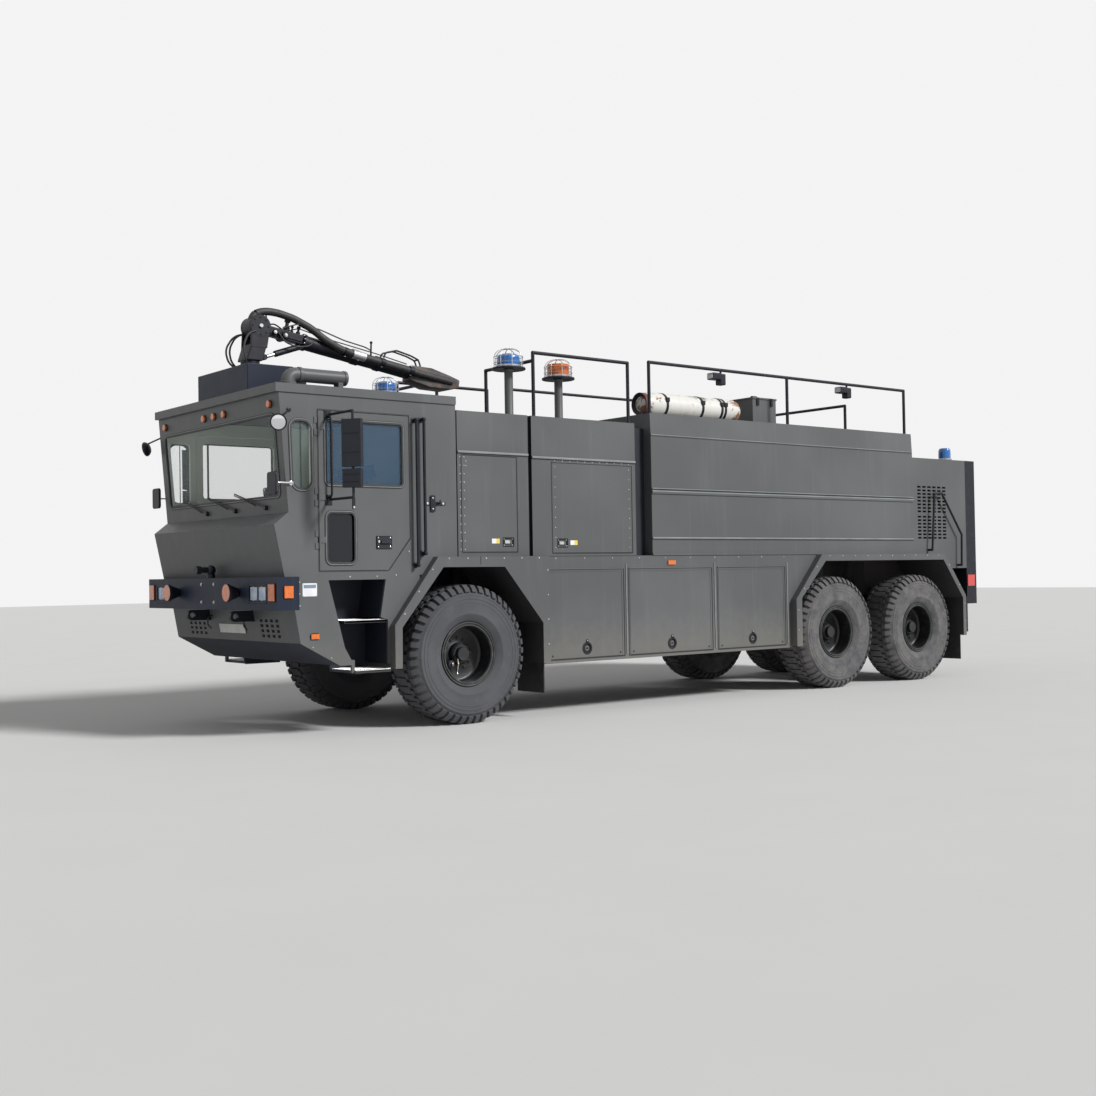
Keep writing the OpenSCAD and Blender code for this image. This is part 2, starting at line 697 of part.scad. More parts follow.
module door_glass(side) {
    g = seat_gap;
    color([0.7, 0.8, 0.8, 0.4]) on_side(side) for (w = door_windows)
        across(half_w - 18 - pane_t, half_w - 18,
            rounded(frame4(w[0] + g, w[1] - g, w[2] + g, w[3] - g), w[4] - g));
}

// Cab inside

module dashboard() {
    in_y = half_w - cab_wall - 20;
    color([0.16, 0.17, 0.16]) {
        across(-in_y, in_y, [[205, cab_floor_z + cab_wall], [150, 2090], [263, 2235], [300, 2330],
            [430, 2330], [480, 2250], [440, 2090], [300, cab_floor_z + cab_wall]]);
        // Steering column and wheel
        rod([420, 760, 2150], [640, 760, 2330], 30);
        translate([at_s(640), 760, 2330]) rotate([0, -51, 0]) {
            rotate_extrude($fn = 48) translate([225, 0]) circle(r = 15, $fn = 16);
            for (a = [0, 120, 240]) rotate([0, 0, a]) translate([0, -14, -8]) cube([222, 28, 14]);
            cylinder(r = 50, h = 24, center = true);
        }
    }
}

// Seats: s of the front edge, y of the middle, foot z
seat_places = [[780, 760, cab_floor_z + cab_wall], [780, -760, cab_floor_z + cab_wall],
    [1250, 255, cab_floor_z + cab_wall], [1250, -255, cab_floor_z + cab_wall]];
seat_w = 500;
module seat(s, y, z) {
    y0 = y - seat_w / 2;
    y1 = y + seat_w / 2;
    sbox(s + 110, s + 400, y - 140, y + 140, z, z + 250);
    across(y0, y1, [[s, z + 270], [s + 60, z + 250], [s + 480, z + 250], [s + 480, z + 380],
        [s + 40, z + 390], [s, z + 350]]);
    across(y0 + 15, y1 - 15, [[s + 400, z + 380], [s + 480, z + 381], [s + 580, z + 1000],
        [s + 500, z + 1010]]);
    across(y - 130, y + 130, [[s + 502, z + 1009], [s + 578, z + 999], [s + 610, z + 1190],
        [s + 540, z + 1200]]);
}
module seats() {
    color([0.2, 0.22, 0.2]) for (p = seat_places) seat(p[0], p[1], p[2]);
}

// Flares and flaps

flare_in = 700;
flare_out = half_w + 92;
module flares() {
    color(olive) both_sides() {
        difference() {
            across(flare_in, flare_out, front_outer);
            across(flare_in - 1, flare_out + 1, front_inner);
        }
        difference() {
            across(flare_in, flare_out, rear_outer);
            across(flare_in - 1, flare_out + 1, rear_inner);
        }
    }
}

// Mud flaps: s, inner y, outer y, foot z, head z
flaps = [[3300, 960, 1440, 270, 640], [11055, 960, 1440, 250, 640]];
module mudflaps() {
    color(black) both_sides() for (f = flaps) {
        sbox(f[0], f[0] + 12, f[1], f[2], f[3], 600);
        sbox(f[0], f[0] + 12, f[1], f[2], 590, 600);
    }
}

// Lower body with its lockers

// Lower lockers: s0, s1
lower_lockers = [[3370, 4510], [4585, 5960], [6055, 7290]];
lower_z0 = 625;
lower_z1 = 1630;
lower_in = 880;

module lower_body() {
    color(olive) {
        both_sides() difference() {
            union() {
                across(lower_in, half_w, [[3336, 585], [7405, 585], [7405, 1210], [7926, deck_top],
                    [3336, deck_top]]);
                // Hinge rods along the lockers' upper edges
                for (l = lower_lockers)
                    xbar(l[0] + door_gap, l[1] - door_gap, half_w + 3, lower_z1 + rod_r, rod_r);
            }
            for (l = lower_lockers)
                sbox(l[0], l[1], lower_in + sheet_t, half_w + 1, lower_z0, lower_z1);
        }
        // Deck between the sides, and its bearers on the rails
        sbox(cab_rear + 20, tank_rear, -flare_in, flare_in, deck_top - deck_t, deck_top);
        sbox(3336, 7405, -lower_in - 1, lower_in + 1, deck_top - deck_t, deck_top);
        both_sides() for (s = [3340, 5200, 7200, 9100, 9800])
            sbox(s, s + 120, rail_y - rail_w, rail_y, rail_top, deck_top - deck_t + 1);
    }
}

// Hinge line of the lower doors
lower_hinge_z = lower_z1 + rod_r;
module lower_door(i, side) {
    l = lower_lockers[i];
    mid = (l[0] + l[1]) / 2;
    color(olive) on_side(side) {
        difference() {
            union() {
                sbox(l[0] + door_gap, l[1] - door_gap, half_w - locker_door_t, half_w,
                    lower_z0 + door_gap, lower_z1 - seat_gap);
            }
            ybar(mid, half_w - 12, half_w + 1, 736, 52);
        }
        ybar(mid, half_w - 13, half_w - 2, 736, 30);
    }
}

// Upper body with its lockers

upper_front = cab_rear + 15;
// Upper lockers: s0, s1, z0, z1
upper_lockers = [[2240, 2970, 1830, 2870], [3460, 4660, 1817, 2830]];
upper_depth = 600;
seam = [3130, 3180];

module upper_body() {
    color(olive) {
        difference() {
            union() {
                sbox(upper_front, upper_rear, -half_w, half_w, deck_top, upper_top);
                sbox(upper_rear - 1, tank_front, -half_w + 130, half_w - 130, deck_top, upper_top - 40);
                both_sides() {
                    zbar(upper_lockers[0][0] - rod_r, half_w + 3, upper_lockers[0][2] + door_gap,
                        upper_lockers[0][3] - door_gap, rod_r);
                    xbar(upper_lockers[1][0] + door_gap, upper_lockers[1][1] - door_gap, half_w + 3,
                        upper_lockers[1][3] + rod_r, rod_r);
                    // Horizontal ribs
                    sbox(upper_front, seam[0], half_w - 1, half_w + 10, 2890, 2912);
                    sbox(seam[1], upper_rear, half_w - 1, half_w + 10, 2870, 2892);
                }
            }
            both_sides() {
                for (l = upper_lockers)
                    sbox(l[0], l[1], half_w - upper_depth, half_w + 1, l[2], l[3]);
                sbox(seam[0], seam[1], half_w - 40, half_w + 11, deck_top - 1, upper_top + 1);
            }
        }
    }
}

module upper_door(i, side) {
    l = upper_lockers[i];
    color(olive) on_side(side) {
        // The hinged edge comes up to the rod, the others keep the running gap
        difference() {
            sbox(l[0] + (i == 0 ? seat_gap : door_gap), l[1] - door_gap, half_w - locker_door_t, half_w,
                l[2] + door_gap, l[3] - (i == 1 ? seat_gap : door_gap));
            upper_latch(i);
        }
        upper_latch_lever(i);
    }
}
// Latches of the upper doors: s, z
upper_latches = [[2843, 1941], [3605, 1931]];
module upper_latch(i) {
    p = upper_latches[i];
    sbox(p[0] - 70, p[0] + 70, half_w - 12, half_w + 1, p[1] - 45, p[1] + 45);
}
module upper_latch_lever(i) {
    p = upper_latches[i];
    sbox(p[0] - 50, p[0] + 50, half_w - 13, half_w - 2, p[1] - 22, p[1] + 22);
}

// Tank

module tank() {
    color(olive) {
        along(tank_front, tank_rear, [[-half_w, deck_top], [half_w, deck_top], [half_w, 3220],
            [half_w - 14, tank_top], [-half_w + 14, tank_top], [-half_w, 3220]]);
        both_sides() {
            sbox(tank_front, tank_rear, half_w - 1, half_w + 14, 2520, 2560);
            sbox(tank_front, tank_rear, half_w - 1, half_w + 10, deck_top + 1, deck_top + 30);
        }
        // Hatch box, and saddles of the gas bottle
        sbox(7030, 7470, 820, 1180, tank_top - 1, 3830);
    }
}

// Gas bottle on the tank
bottle_s = [5120, 6790];
bottle_y = 1100;
bottle_r = 150;
bottle_z = tank_top + bottle_r + seat_gap;
module gas_bottle() {
    color([0.75, 0.73, 0.68]) translate([at_s(bottle_s[1]), bottle_y, bottle_z]) rotate([0, 90, 0])
        rotate_extrude($fn = 48) polygon(let (l = bottle_s[1] - bottle_s[0]) concat([[0, 0], [60, 4], [110, 24],
            [138, 60], [bottle_r, 110], [bottle_r, l - 110], [138, l - 60], [110, l - 24], [60, l - 4], [0, l]]));
}

// Engine box

// Grille: first s, first z, columns, rows, pitch in s, pitch in z, rows before the plain band
vent_grid = [10115, 2000, 6, 15, 117, 50, 7];
vent_slot = [80, 26];
module engine_box() {
    t = sheet_t;
    color(olive) difference() {
        across(-half_w, half_w, [[tank_rear, deck_top], [10600, deck_top], [arch_rear_s, engine_floor_z],
            [engine_rear, engine_floor_z], [engine_rear, engine_top], [tank_rear, engine_top]]);
        across(-half_w + t, half_w - t, [[tank_rear + t, deck_top - 300], [10600, deck_top - 300],
            [engine_rear - t, deck_top - 300], [engine_rear - t, engine_top - t], [tank_rear + t, engine_top - t]]);
        both_sides() for (i = [0:vent_grid[2] - 1]) for (j = [0:vent_grid[3] - 1])
            let (z = vent_grid[1] + j * vent_grid[5] + (j < vent_grid[6] ? 0 : 26))
                sbox(vent_grid[0] + i * vent_grid[4], vent_grid[0] + i * vent_grid[4] + vent_slot[0],
                    half_w - t - 1, half_w + 1, z, z + vent_slot[1]);
    }
}

module engine_block() {
    color([0.35, 0.35, 0.36]) sbox(tank_rear + 140, engine_rear - 130, -rail_y, rail_y, rail_top, 2350);
}

// Rear cowl with its slats, and the rear bumper plate
cowl_z = [1050, 3150];
module rear_cowl() {
    color(black) {
        difference() {
            sbox(engine_rear, rear_end - 6, -half_w, half_w, cowl_z[0], cowl_z[1]);
            sbox(engine_rear + 30, rear_end, -half_w + 130, half_w - 130, cowl_z[0] + 500, cowl_z[1] - 120);
            both_sides() sbox(tail_box[0] - 4, tail_box[1] + 4, half_w - 8, half_w + 1,
                tail_box[2] - 4, tail_box[3] + 4);
        }
        for (i = [0:11])
            across(-half_w + 129, half_w - 129, [[rear_end - 60, 1600 + i * 118], [rear_end, 1640 + i * 118],
                [rear_end, 1650 + i * 118], [rear_end - 60, 1610 + i * 118]]);
        difference() {
            sbox(engine_rear - 110, engine_rear + 2, -half_w, half_w, 640, cowl_z[0] + 100);
            both_sides() tow_slot(tow_plates[1], engine_rear - 160, engine_rear + 40);
        }
    }
}

// Rails and grab bars

rail_out = 1400;
module handrails() {
    r = tube_r;
    top1 = 4050;
    top2 = 4090;
    color(black) {
        both_sides() {
            // Rail along the upper body, with its cross rail at the front
            tube([[3250, rail_out, upper_top], [3250, rail_out, top1], [4660, rail_out, top1],
                [4660, rail_out, upper_top]], r);
            tube([[3250, rail_out, 3960], [3250, 510, 3960], [3250, 510, upper_top]], r);
            // Rail along the tank
            tube([[5000, rail_out, tank_top], [5000, rail_out, top2], [9895, rail_out, top2],
                [9895, rail_out, tank_top]], r);
            rod([7445, rail_out, tank_top], [7445, rail_out, top2], r);
            // Grab bars behind the cab door
            for (g = [[1635, 1700, 3200], [1725, 1820, 3210]])
                tube([[g[0], half_w, g[1]], [g[0], half_w + 62, g[1]], [g[0], half_w + 62, g[2]],
                    [g[0], half_w, g[2]]], 16);
            // Rail beside the engine box
            tube([[10345, half_w, 1840], [10345, half_w + 70, 1840], [10420, half_w + 70, 2642],
                [10590, half_w + 70, 2654], [11053, half_w + 70, 2062], [11040, half_w + 70, 1620],
                [11040, half_w, 1620]], 16);
        }
        // Cross rail near the rear of the tank
        tube([[9100, -1000, tank_top], [9100, -1000, 3870], [9100, 1000, 3870], [9100, 1000, tank_top]], r);
    }
}

// Monitor

housing_s = [100, 800];
housing_y = [-400, 770];
module monitor_housing() {
    color(olive) {
        sbox(housing_s[0], 620, housing_y[0], housing_y[1], roof_z, housing_top);
        sbox(619, housing_s[1], housing_y[0] + 60, housing_y[1] - 60, roof_z, housing_top - 40);
        // Pipe with its elbow beside the housing
        xbar(280, 980, 1180, roof_z + 80, 75);
        zbar(980, 1180, roof_z, roof_z + 80, 78);
        translate([at_s(980), 1180, roof_z + 80]) sphere(r = 79);
        sbox(300, 350, 1140, 1220, roof_z, roof_z + 30);
    }
}

pin_r = 22;
cheek_y = [95, 120];
// Plate of the riser from y0 to y1, outline in (x, z)
module riser_plate(y0, y1, pts) {
    translate([0, y0, 0]) rotate([90, 0, 0]) mirror([0, 0, 1]) linear_extrude(y1 - y0) polygon(pts);
}
module monitor_riser() {
    z0 = housing_top + seat_gap;
    color(black) translate([at_s(yaw_s), yaw_y, 0]) {
        translate([0, 0, z0]) cylinder(r = 150, h = 30);
        translate([0, 0, z0 + 29]) cylinder(r = 100, h = 150);
        // Leaning neck under the boom's hub, with a cheek on each side
        riser_plate(-cheek_y[1], cheek_y[1], [[-100, z0 + 150], [95, z0 + 150], [40, z0 + 300],
            [-125, z0 + 330]]);
        for (y = [-cheek_y[1], cheek_y[0]]) riser_plate(y, y + cheek_y[1] - cheek_y[0],
            [[-125, z0 + 250], [60, z0 + 250], [10, pivot_z + 40], [-40, pivot_z + 80],
            [-120, pivot_z + 60], [-150, pivot_z - 40]]);
        translate([yaw_s - pivot_s, cheek_y[1] + 20, pivot_z]) rotate([90, 0, 0])
            cylinder(r = pin_r, h = cheek_y[1] * 2 + 40);
    }
}

// The boom lies rearwards, its tip a little lower than the pin
boom_drop = 9.5;
boom_l = 2560;
// Boom sections from the pin: distance, radius
boom_sections = [[0, 84], [700, 84], [701, 70], [1350, 62], [2000, 58]];
module monitor_boom() {
    color(black) translate([at_s(pivot_s), yaw_y, pivot_z]) rotate([0, -90 - boom_drop, 0]) {
        difference() {
            union() {
                // Hub around the pin
                rotate([90, 0, 0]) translate([0, 0, -cheek_y[0] + seat_gap])
                    cylinder(r = 117, h = (cheek_y[0] - seat_gap) * 2);
                rotate_extrude() polygon(concat([[0, 60]], [for (b = boom_sections) if (b[0] > 60) [b[1], b[0]]],
                    [[84, 60]], []));
                // Nozzle: flared duck bill
                translate([0, 0, 2000 - 20]) cylinder(r1 = 70, r2 = 92, h = 200);
                translate([0, 0, 2179]) rotate([90, 0, 90]) translate([0, 0, -75])
                    linear_extrude(150) polygon([[-95, 0], [95, 0], [150, boom_l - 2179], [-150, boom_l - 2179]]);
            }
            rotate([90, 0, 0]) translate([0, 0, -200]) cylinder(r = pin_r + run_gap, h = 400);
            // Mouth of the nozzle
            translate([0, 0, boom_l - 200]) rotate([90, 0, 90]) translate([0, 0, -60])
                linear_extrude(120) polygon([[-100, 0], [100, 0], [136, 201], [-136, 201]]);
        }
    }
}

// Small monitor on the bumper
bumper_monitor_s = 40;
module bumper_monitor() {
    z0 = bumper_z1 - 10 + seat_gap;
    color(black) {
        zbar(bumper_monitor_s, 0, z0, z0 + 45, 42);
        translate([at_s(bumper_monitor_s), 0, z0 + 85]) sphere(r = 50);
        xbar(-130, bumper_monitor_s, 0, z0 + 85, 30);
        xbar(-130, -80, 0, z0 + 85, 42);
    }
}

// Wipers: y of the pivot, y of the tip
wiper_pairs = [[-354, -905], [320, -286], [1001, 354]];
wiper_z = [2290, 2459];
module wipers() {
    color(black) for (w = wiper_pairs) {
        s0 = screen_s(wiper_z[0]) - 2;
        xbar(s0 - 30, s0, w[0], wiper_z[0], 22);
        rod([s0 - 22, w[0], wiper_z[0]], [screen_s(wiper_z[1]) - 22, w[1], wiper_z[1]], 7);
    }
}

// Mirrors at the front corners: flat one below, round one above
module corner_mirrors() {
    color(black) both_sides() {
        tube([[220, half_w, 2510], [220, half_w + 30, 2510], [45, half_w + 30, 2510]], 9);
        sbox(25, 55, half_w - 138, half_w + 45, 2390, 2620);
        tube([[200, half_w, 3223], [200, half_w + 22, 3223], [150, half_w + 92, 3200],
            [20, half_w + 168, 3130]], 9);
        translate([at_s(-5), half_w + 168, 3075]) rotate([0, -90, 0]) cylinder(r1 = 60, r2 = 85, h = 40);
    }
}

chassis_frame();
axles();
knuckle(1);  // knuckle_left
knuckle(-1);  // knuckle_right
tie_rod();
for (w = wheel_places) {
    tyre(w[1], w[2]);
    rim(w[1], w[2]);
}
bumper();
lamp_housings();
lenses_clear();
lenses_amber();
lenses_blue();
lenses_red();
cab_base();
cab_shell();
cab_glass();
cab_door(1);  // door_left
cab_door(-1);  // door_right
door_glass(1);  // door_glass_left
door_glass(-1);  // door_glass_right
dashboard();
seats();
flares();
mudflaps();
lower_body();
lower_door(0, 1);  // lower_door_left_1
lower_door(1, 1);  // lower_door_left_2
lower_door(2, 1);  // lower_door_left_3
lower_door(0, -1);  // lower_door_right_1
lower_door(1, -1);  // lower_door_right_2
lower_door(2, -1);  // lower_door_right_3
upper_body();
upper_door(0, 1);  // upper_door_left_1
upper_door(1, 1);  // upper_door_left_2
upper_door(0, -1);  // upper_door_right_1
upper_door(1, -1);  // upper_door_right_2
tank();
engine_box();
engine_block();
rear_cowl();
handrails();
gas_bottle();
monitor_housing();
monitor_riser();
monitor_boom();
bumper_monitor();
wipers();
corner_mirrors();
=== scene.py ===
from math import atan2, cos, hypot, pi, radians, sin, tau

import bmesh
import bpy
from mathutils import Matrix, Vector


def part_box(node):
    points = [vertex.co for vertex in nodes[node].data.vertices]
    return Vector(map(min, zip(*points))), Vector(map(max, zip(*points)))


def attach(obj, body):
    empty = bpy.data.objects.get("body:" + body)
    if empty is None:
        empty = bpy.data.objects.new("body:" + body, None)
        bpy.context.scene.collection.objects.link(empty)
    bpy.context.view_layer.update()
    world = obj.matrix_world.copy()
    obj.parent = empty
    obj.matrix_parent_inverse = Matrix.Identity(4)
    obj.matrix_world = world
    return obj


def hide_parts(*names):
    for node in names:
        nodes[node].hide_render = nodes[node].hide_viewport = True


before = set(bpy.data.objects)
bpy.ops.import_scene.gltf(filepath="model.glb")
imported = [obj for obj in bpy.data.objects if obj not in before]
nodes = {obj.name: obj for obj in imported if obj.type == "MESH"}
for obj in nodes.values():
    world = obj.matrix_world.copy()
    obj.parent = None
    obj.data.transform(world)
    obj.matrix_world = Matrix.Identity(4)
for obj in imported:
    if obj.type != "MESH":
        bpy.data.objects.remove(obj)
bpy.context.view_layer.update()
scene = bpy.context.scene

# Places along the truck are given as in its drawings: metres behind the bumper's face
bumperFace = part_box("bumper")[1].x
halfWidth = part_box("tank")[1].y - 0.014
skin = 1.438
flareFace = 1.53
screen = {"foot": 0.185, "z": 2.227, "slope": 0.0783}  # face of the windscreen's wall, and how it leans
sides = ((1, "left"), (-1, "right"))
out, ahead, up = (Vector(way) for way in ((0, 1, 0), (1, 0, 0), (0, 0, 1)))


def at(s):
    return bumperFace - s


def spot(s, y, z):
    return Vector((at(s), y, z))


# Camera, solved from the straight edges of the photograph

view = {"place": (11.833, 13.395, 1.584), "yaw": -128.6, "pitch": 1.0896, "roll": -0.9501, "lens": 45.15,
    "sensor": 36.0, "far": 200}


def placeCamera():
    yaw, pitch, roll = (radians(view[key]) for key in ("yaw", "pitch", "roll"))
    forward = Vector((cos(pitch) * cos(yaw), cos(pitch) * sin(yaw), sin(pitch)))
    right = forward.cross(up).normalized()
    above = right.cross(forward)
    tiltedRight = right * cos(roll) + above * sin(roll)
    tiltedUp = above * cos(roll) - right * sin(roll)
    data = bpy.data.cameras.new("photoCamera")
    data.lens = view["lens"]
    data.sensor_width = view["sensor"]
    data.sensor_fit = "HORIZONTAL"
    data.clip_end = view["far"]
    camera = bpy.data.objects.new("photoCamera", data)
    scene.collection.objects.link(camera)
    turn = Matrix((tiltedRight, tiltedUp, -forward)).transposed().to_4x4()
    camera.matrix_world = Matrix.Translation(Vector(view["place"])) @ turn
    scene.camera = camera


placeCamera()
print("camera placed")


# Shader wiring

class Flow:
    def __init__(self, tree, socket=None):
        self.tree = tree
        self.socket = socket

    def node(self, kind, settings=None, sockets=None, output=0):
        made = self.tree.nodes.new(kind)
        for key, value in (settings or {}).items():
            setattr(made, key, value)
        for key, value in (sockets or {}).items():
            self.feed(made.inputs[key], value)
        return Flow(self.tree, made.outputs[output])

    def feed(self, target, value):
        if isinstance(value, Flow):
            self.tree.links.new(value.socket, target)
        else:
            target.default_value = value

    def maths(self, operation, other=0, flipped=False):
        pair = {0: other, 1: self} if flipped else {0: self, 1: other}
        return self.node("ShaderNodeMath", {"operation": operation}, pair)

    def __add__(self, other):
        return self.maths("ADD", other)

    __radd__ = __add__

    def __sub__(self, other):
        return self.maths("SUBTRACT", other)

    def __rsub__(self, other):
        return self.maths("SUBTRACT", other, flipped=True)

    def __mul__(self, other):
        return self.maths("MULTIPLY", other)

    def __gt__(self, other):
        return self.maths("GREATER_THAN", other)

    def __lt__(self, other):
        return self.maths("LESS_THAN", other)


def noise(coords, scale, detail=3.0, roughness=0.55, stretch=None):
    if stretch:
        coords = coords.node("ShaderNodeMapping", None, {"Vector": coords, "Scale": stretch})
    return coords.node("ShaderNodeTexNoise", None, {"Vector": coords, "Scale": scale, "Detail": detail,
        "Roughness": roughness})


def ramp(value, low, high, bottom=0, top=1):
    return value.node("ShaderNodeMapRange", {"clamp": True, "interpolation_type": "SMOOTHSTEP"},
        {"Value": value, "From Min": low, "From Max": high, "To Min": bottom, "To Max": top})


def mixColour(factor, first, second):
    return factor.node("ShaderNodeMix", {"data_type": "RGBA", "clamp_factor": True},
        {0: factor, 6: first, 7: second}, output=2)


def axes(coords):
    split = coords.tree.nodes.new("ShaderNodeSeparateXYZ")
    coords.feed(split.inputs[0], coords)
    return [Flow(coords.tree, output) for output in split.outputs]


def rgb(red, green, blue):
    return (red, green, blue, 1)


def absolute(value):
    return value.maths("ABSOLUTE")


def least(value, other):
    return value.maths("MINIMUM", other)


def most(value, other):
    return value.maths("MAXIMUM", other)


def objectPlace(material):
    return Flow(material.node_tree).node("ShaderNodeTexCoord", output="Object")


def shade(name, **constants):
    material = bpy.data.materials.new(name)
    material.use_nodes = True
    shader = material.node_tree.nodes["Principled BSDF"]
    for key, value in constants.items():
        shader.inputs[key.replace("_", " ")].default_value = value
    return (material, shader, objectPlace(material))


def look(shader, tone, gloss=None, relief=None, strength=0, distance=0.002):
    # Links what the colour, the roughness and the fine relief follow
    tone.feed(shader.inputs["Base Color"], tone)
    if gloss:
        tone.feed(shader.inputs["Roughness"], gloss)
    if relief:
        bumps = {"Height": relief, "Strength": strength, "Distance": distance}
        tone.feed(shader.inputs["Normal"], tone.node("ShaderNodeBump", None, bumps))


# Finishes

olive = {"fresh": rgb(0.085, 0.089, 0.091), "faded": rgb(0.109, 0.114, 0.117), "dust": rgb(0.175, 0.165, 0.142),
    "streak": rgb(0.138, 0.145, 0.15)}
slate = {"fresh": rgb(0.008, 0.013, 0.028), "faded": rgb(0.016, 0.023, 0.042), "dust": rgb(0.08, 0.08, 0.075),
    "streak": rgb(0.04, 0.046, 0.058)}


def sheetPaint(name, paint=olive, dustAmount=0.5, sheen=0.36):
    material, shader, coords = shade(name, Specular_IOR_Level=sheen)
    patches = ramp(noise(coords, 0.55, 3), 0.35, 0.7)
    mottle = noise(coords, 9, 4)
    runs = ramp(noise(coords, 3.2, 5, 0.65, stretch=(3.6, 3.6, 0.22)), 0.52, 0.78)
    base = mixColour(patches, paint["fresh"], paint["faded"])
    base = mixColour(runs * 0.35, base, paint["streak"])
    # Dust gathers towards the ground
    low = ramp(axes(coords)[2], 0.45, 1.5, 1, 0)
    grime = ramp(low * 0.75 + mottle * 0.5 - 0.2, 0.2, 0.85) * dustAmount
    base = mixColour(grime, base, paint["dust"])
    shader.inputs["Base Color"].default_value = paint["fresh"]
    gloss = 0.5 + patches * 0.08 - mottle * 0.12 + grime * 0.25
    peel = noise(coords, 260, 2) * 0.12 + noise(coords, 2.2, 2)
    look(shader, base, gloss, peel, 0.16, 0.004)
    return (material, shader, base)


def maskedFinish(name, mask, shadow, dusty=0.5):
    # Sheet paint with the part that the mask names in a darker colour, which is painted shade
    material, shader, base = sheetPaint(name, dustAmount=dusty)
    coords = objectPlace(material)
    x, y, z = axes(coords)
    # Painted shade, a little mottled
    stainAndShade = mixColour(noise(coords, 6, 5), shadow, rgb(*[part * 1.9 for part in shadow[:3]]))
    hidden = least(mask(x, y, z), 1)
    look(shader, mixColour(hidden, base, stainAndShade))
    return material


def upperMask(x, y, z):
    # Seam between the upper panels, and the recess ahead of the tank, both painted dark as shade
    side = absolute(y)
    seam = (x < at(3.1295)) * (x > at(3.1805)) * (side < skin - 0.0002) * (side > skin - 0.0405)
    return seam + (x < at(4.7197))


def archMask(x, y, z):
    # Inner faces of both wheel arches, painted dark as shade
    s = bumperFace - x
    front = (s > most(z - 1.078, 0) * 0.81 + 1.366) * (s < 3.3)
    rear = s > most(z - 1.215, 0) * 0.955 + 7.458
    rear = rear * (s < 11.057 - most(z - 1.163, 0) * 0.813)
    return (front + rear) * (z < 1.735) * (absolute(y) < 1.5285)


def baseMask(x, y, z):
    # Step wells, what lies behind the front plate, and the front panel below its fold, all painted dark as shade
    side = absolute(y)
    below = (z < 0.947) * (x > at(0.8)) * (side < skin - 0.0006)
    return (x < at(0.6)) * (side < skin - 0.03) * (z < 1.559) + below


def lowerMask(x, y, z):
    # Inner faces of the lower body, painted dark as shade
    return absolute(y) < skin - 0.03


def cabFinish():
    # Outside olive, inside a pale lining made brighter than its own colour as painted light from the sun through the
    # windows: what lies deeper than the sheet counts as inside
    material, shader, base = sheetPaint("oliveCab")
    coords = objectPlace(material)
    x, y, z = axes(coords)
    depth = 0.02
    rear, floor, roof = (at(2.165), 1.6, 3.384)
    across = absolute(y) < halfWidth - depth
    windowLine = at(screen["foot"]) + (z - screen["z"]) * screen["slope"]  # outer face of the windscreen wall
    noseLine = at(0.029) - (2.107 - z) * 0.209  # outer face of the nose below it
    inside = across * (x < windowLine - depth) * (x > rear + depth) * (z > floor + depth) * (z < roof)
    upper = z > 2.12
    nose = across * (x < noseLine - depth) * (x > rear + depth) * (z > floor + depth)
    hidden = inside * upper + nose * (1 - upper)
    # Pale lining brightened as painted sunlight
    sunlitLining = mixColour(noise(coords, 30, 3), rgb(0.92, 0.96, 0.86), rgb(0.84, 0.88, 0.78))
    look(shader, mixColour(least(hidden, 1), base, sunlitLining))
    return material


def doorFinish():
    # The cab's paint, with the handle and the mirror frame in black
    material = cabFinish()
    material.name = "oliveDoor"
    shader = material.node_tree.nodes["Principled BSDF"]
    base = Flow(material.node_tree, shader.inputs["Base Color"].links[0].from_socket)
    coords = objectPlace(material)
    x, y, z = axes(coords)
    side = absolute(y)
    handle = (side > skin + 0.0006) * (x < at(1.165)) * (x > at(1.355)) * (z > 1.865) * (z < 2.005)
    black = least((side > skin + 0.034) + handle, 1)
    tone = mixColour(noise(coords, 8, 4), rgb(0.007, 0.008, 0.014), rgb(0.016, 0.018, 0.027))
    look(shader, mixColour(black, base, tone))
    return material


def blackFinish():
    material, shader, coords = shade("satinBlack", Specular_IOR_Level=0.3)
    worn = ramp(noise(coords, 7, 5, 0.65), 0.45, 0.8)
    fine = noise(coords, 60, 3)
    tone = mixColour(worn, rgb(0.006, 0.007, 0.013), rgb(0.017, 0.019, 0.028))
    dusty = ramp(axes(coords)[2], 0.3, 1.1, 0.55, 0) * ramp(noise(coords, 5, 4), 0.3, 0.7)
    tone = mixColour(dusty, tone, rgb(0.05, 0.047, 0.044))
    look(shader, tone, 0.36 + fine * 0.18 + dusty * 0.3, fine, 0.08, 0.001)
    return material


def rubberFinish():
    material, shader, coords = shade("blackRubber")
    tone = 0.018
    bloom = ramp(noise(coords, 14, 4), 0.4, 0.8)
    look(shader, mixColour(bloom, rgb(tone, tone, tone * 1.1), rgb(tone * 2.2, tone * 2.2, tone * 2.3)),
        0.55 + bloom * 0.2, noise(coords, 120, 2), 0.15, 0.001)
    return material


def tyreFinish(name, dust):
    material, shader, coords = shade(name)
    cloud = ramp(noise(coords, 3.0, 5, 0.6), 0.3, 0.75)
    speck = noise(coords, 45, 4, 0.7)
    base = mixColour(cloud * 0.6 + speck * 0.3, rgb(0.056, 0.058, 0.066), rgb(0.09, 0.092, 0.098))
    dirt = ramp(noise(coords, 8, 6, 0.7), 0.62 - dust * 0.4, 0.95 - dust * 0.3) * dust
    base = mixColour(dirt, base, rgb(0.17, 0.162, 0.15))
    look(shader, base, 0.72 + speck * 0.18, speck, 0.35, 0.0015)
    return material


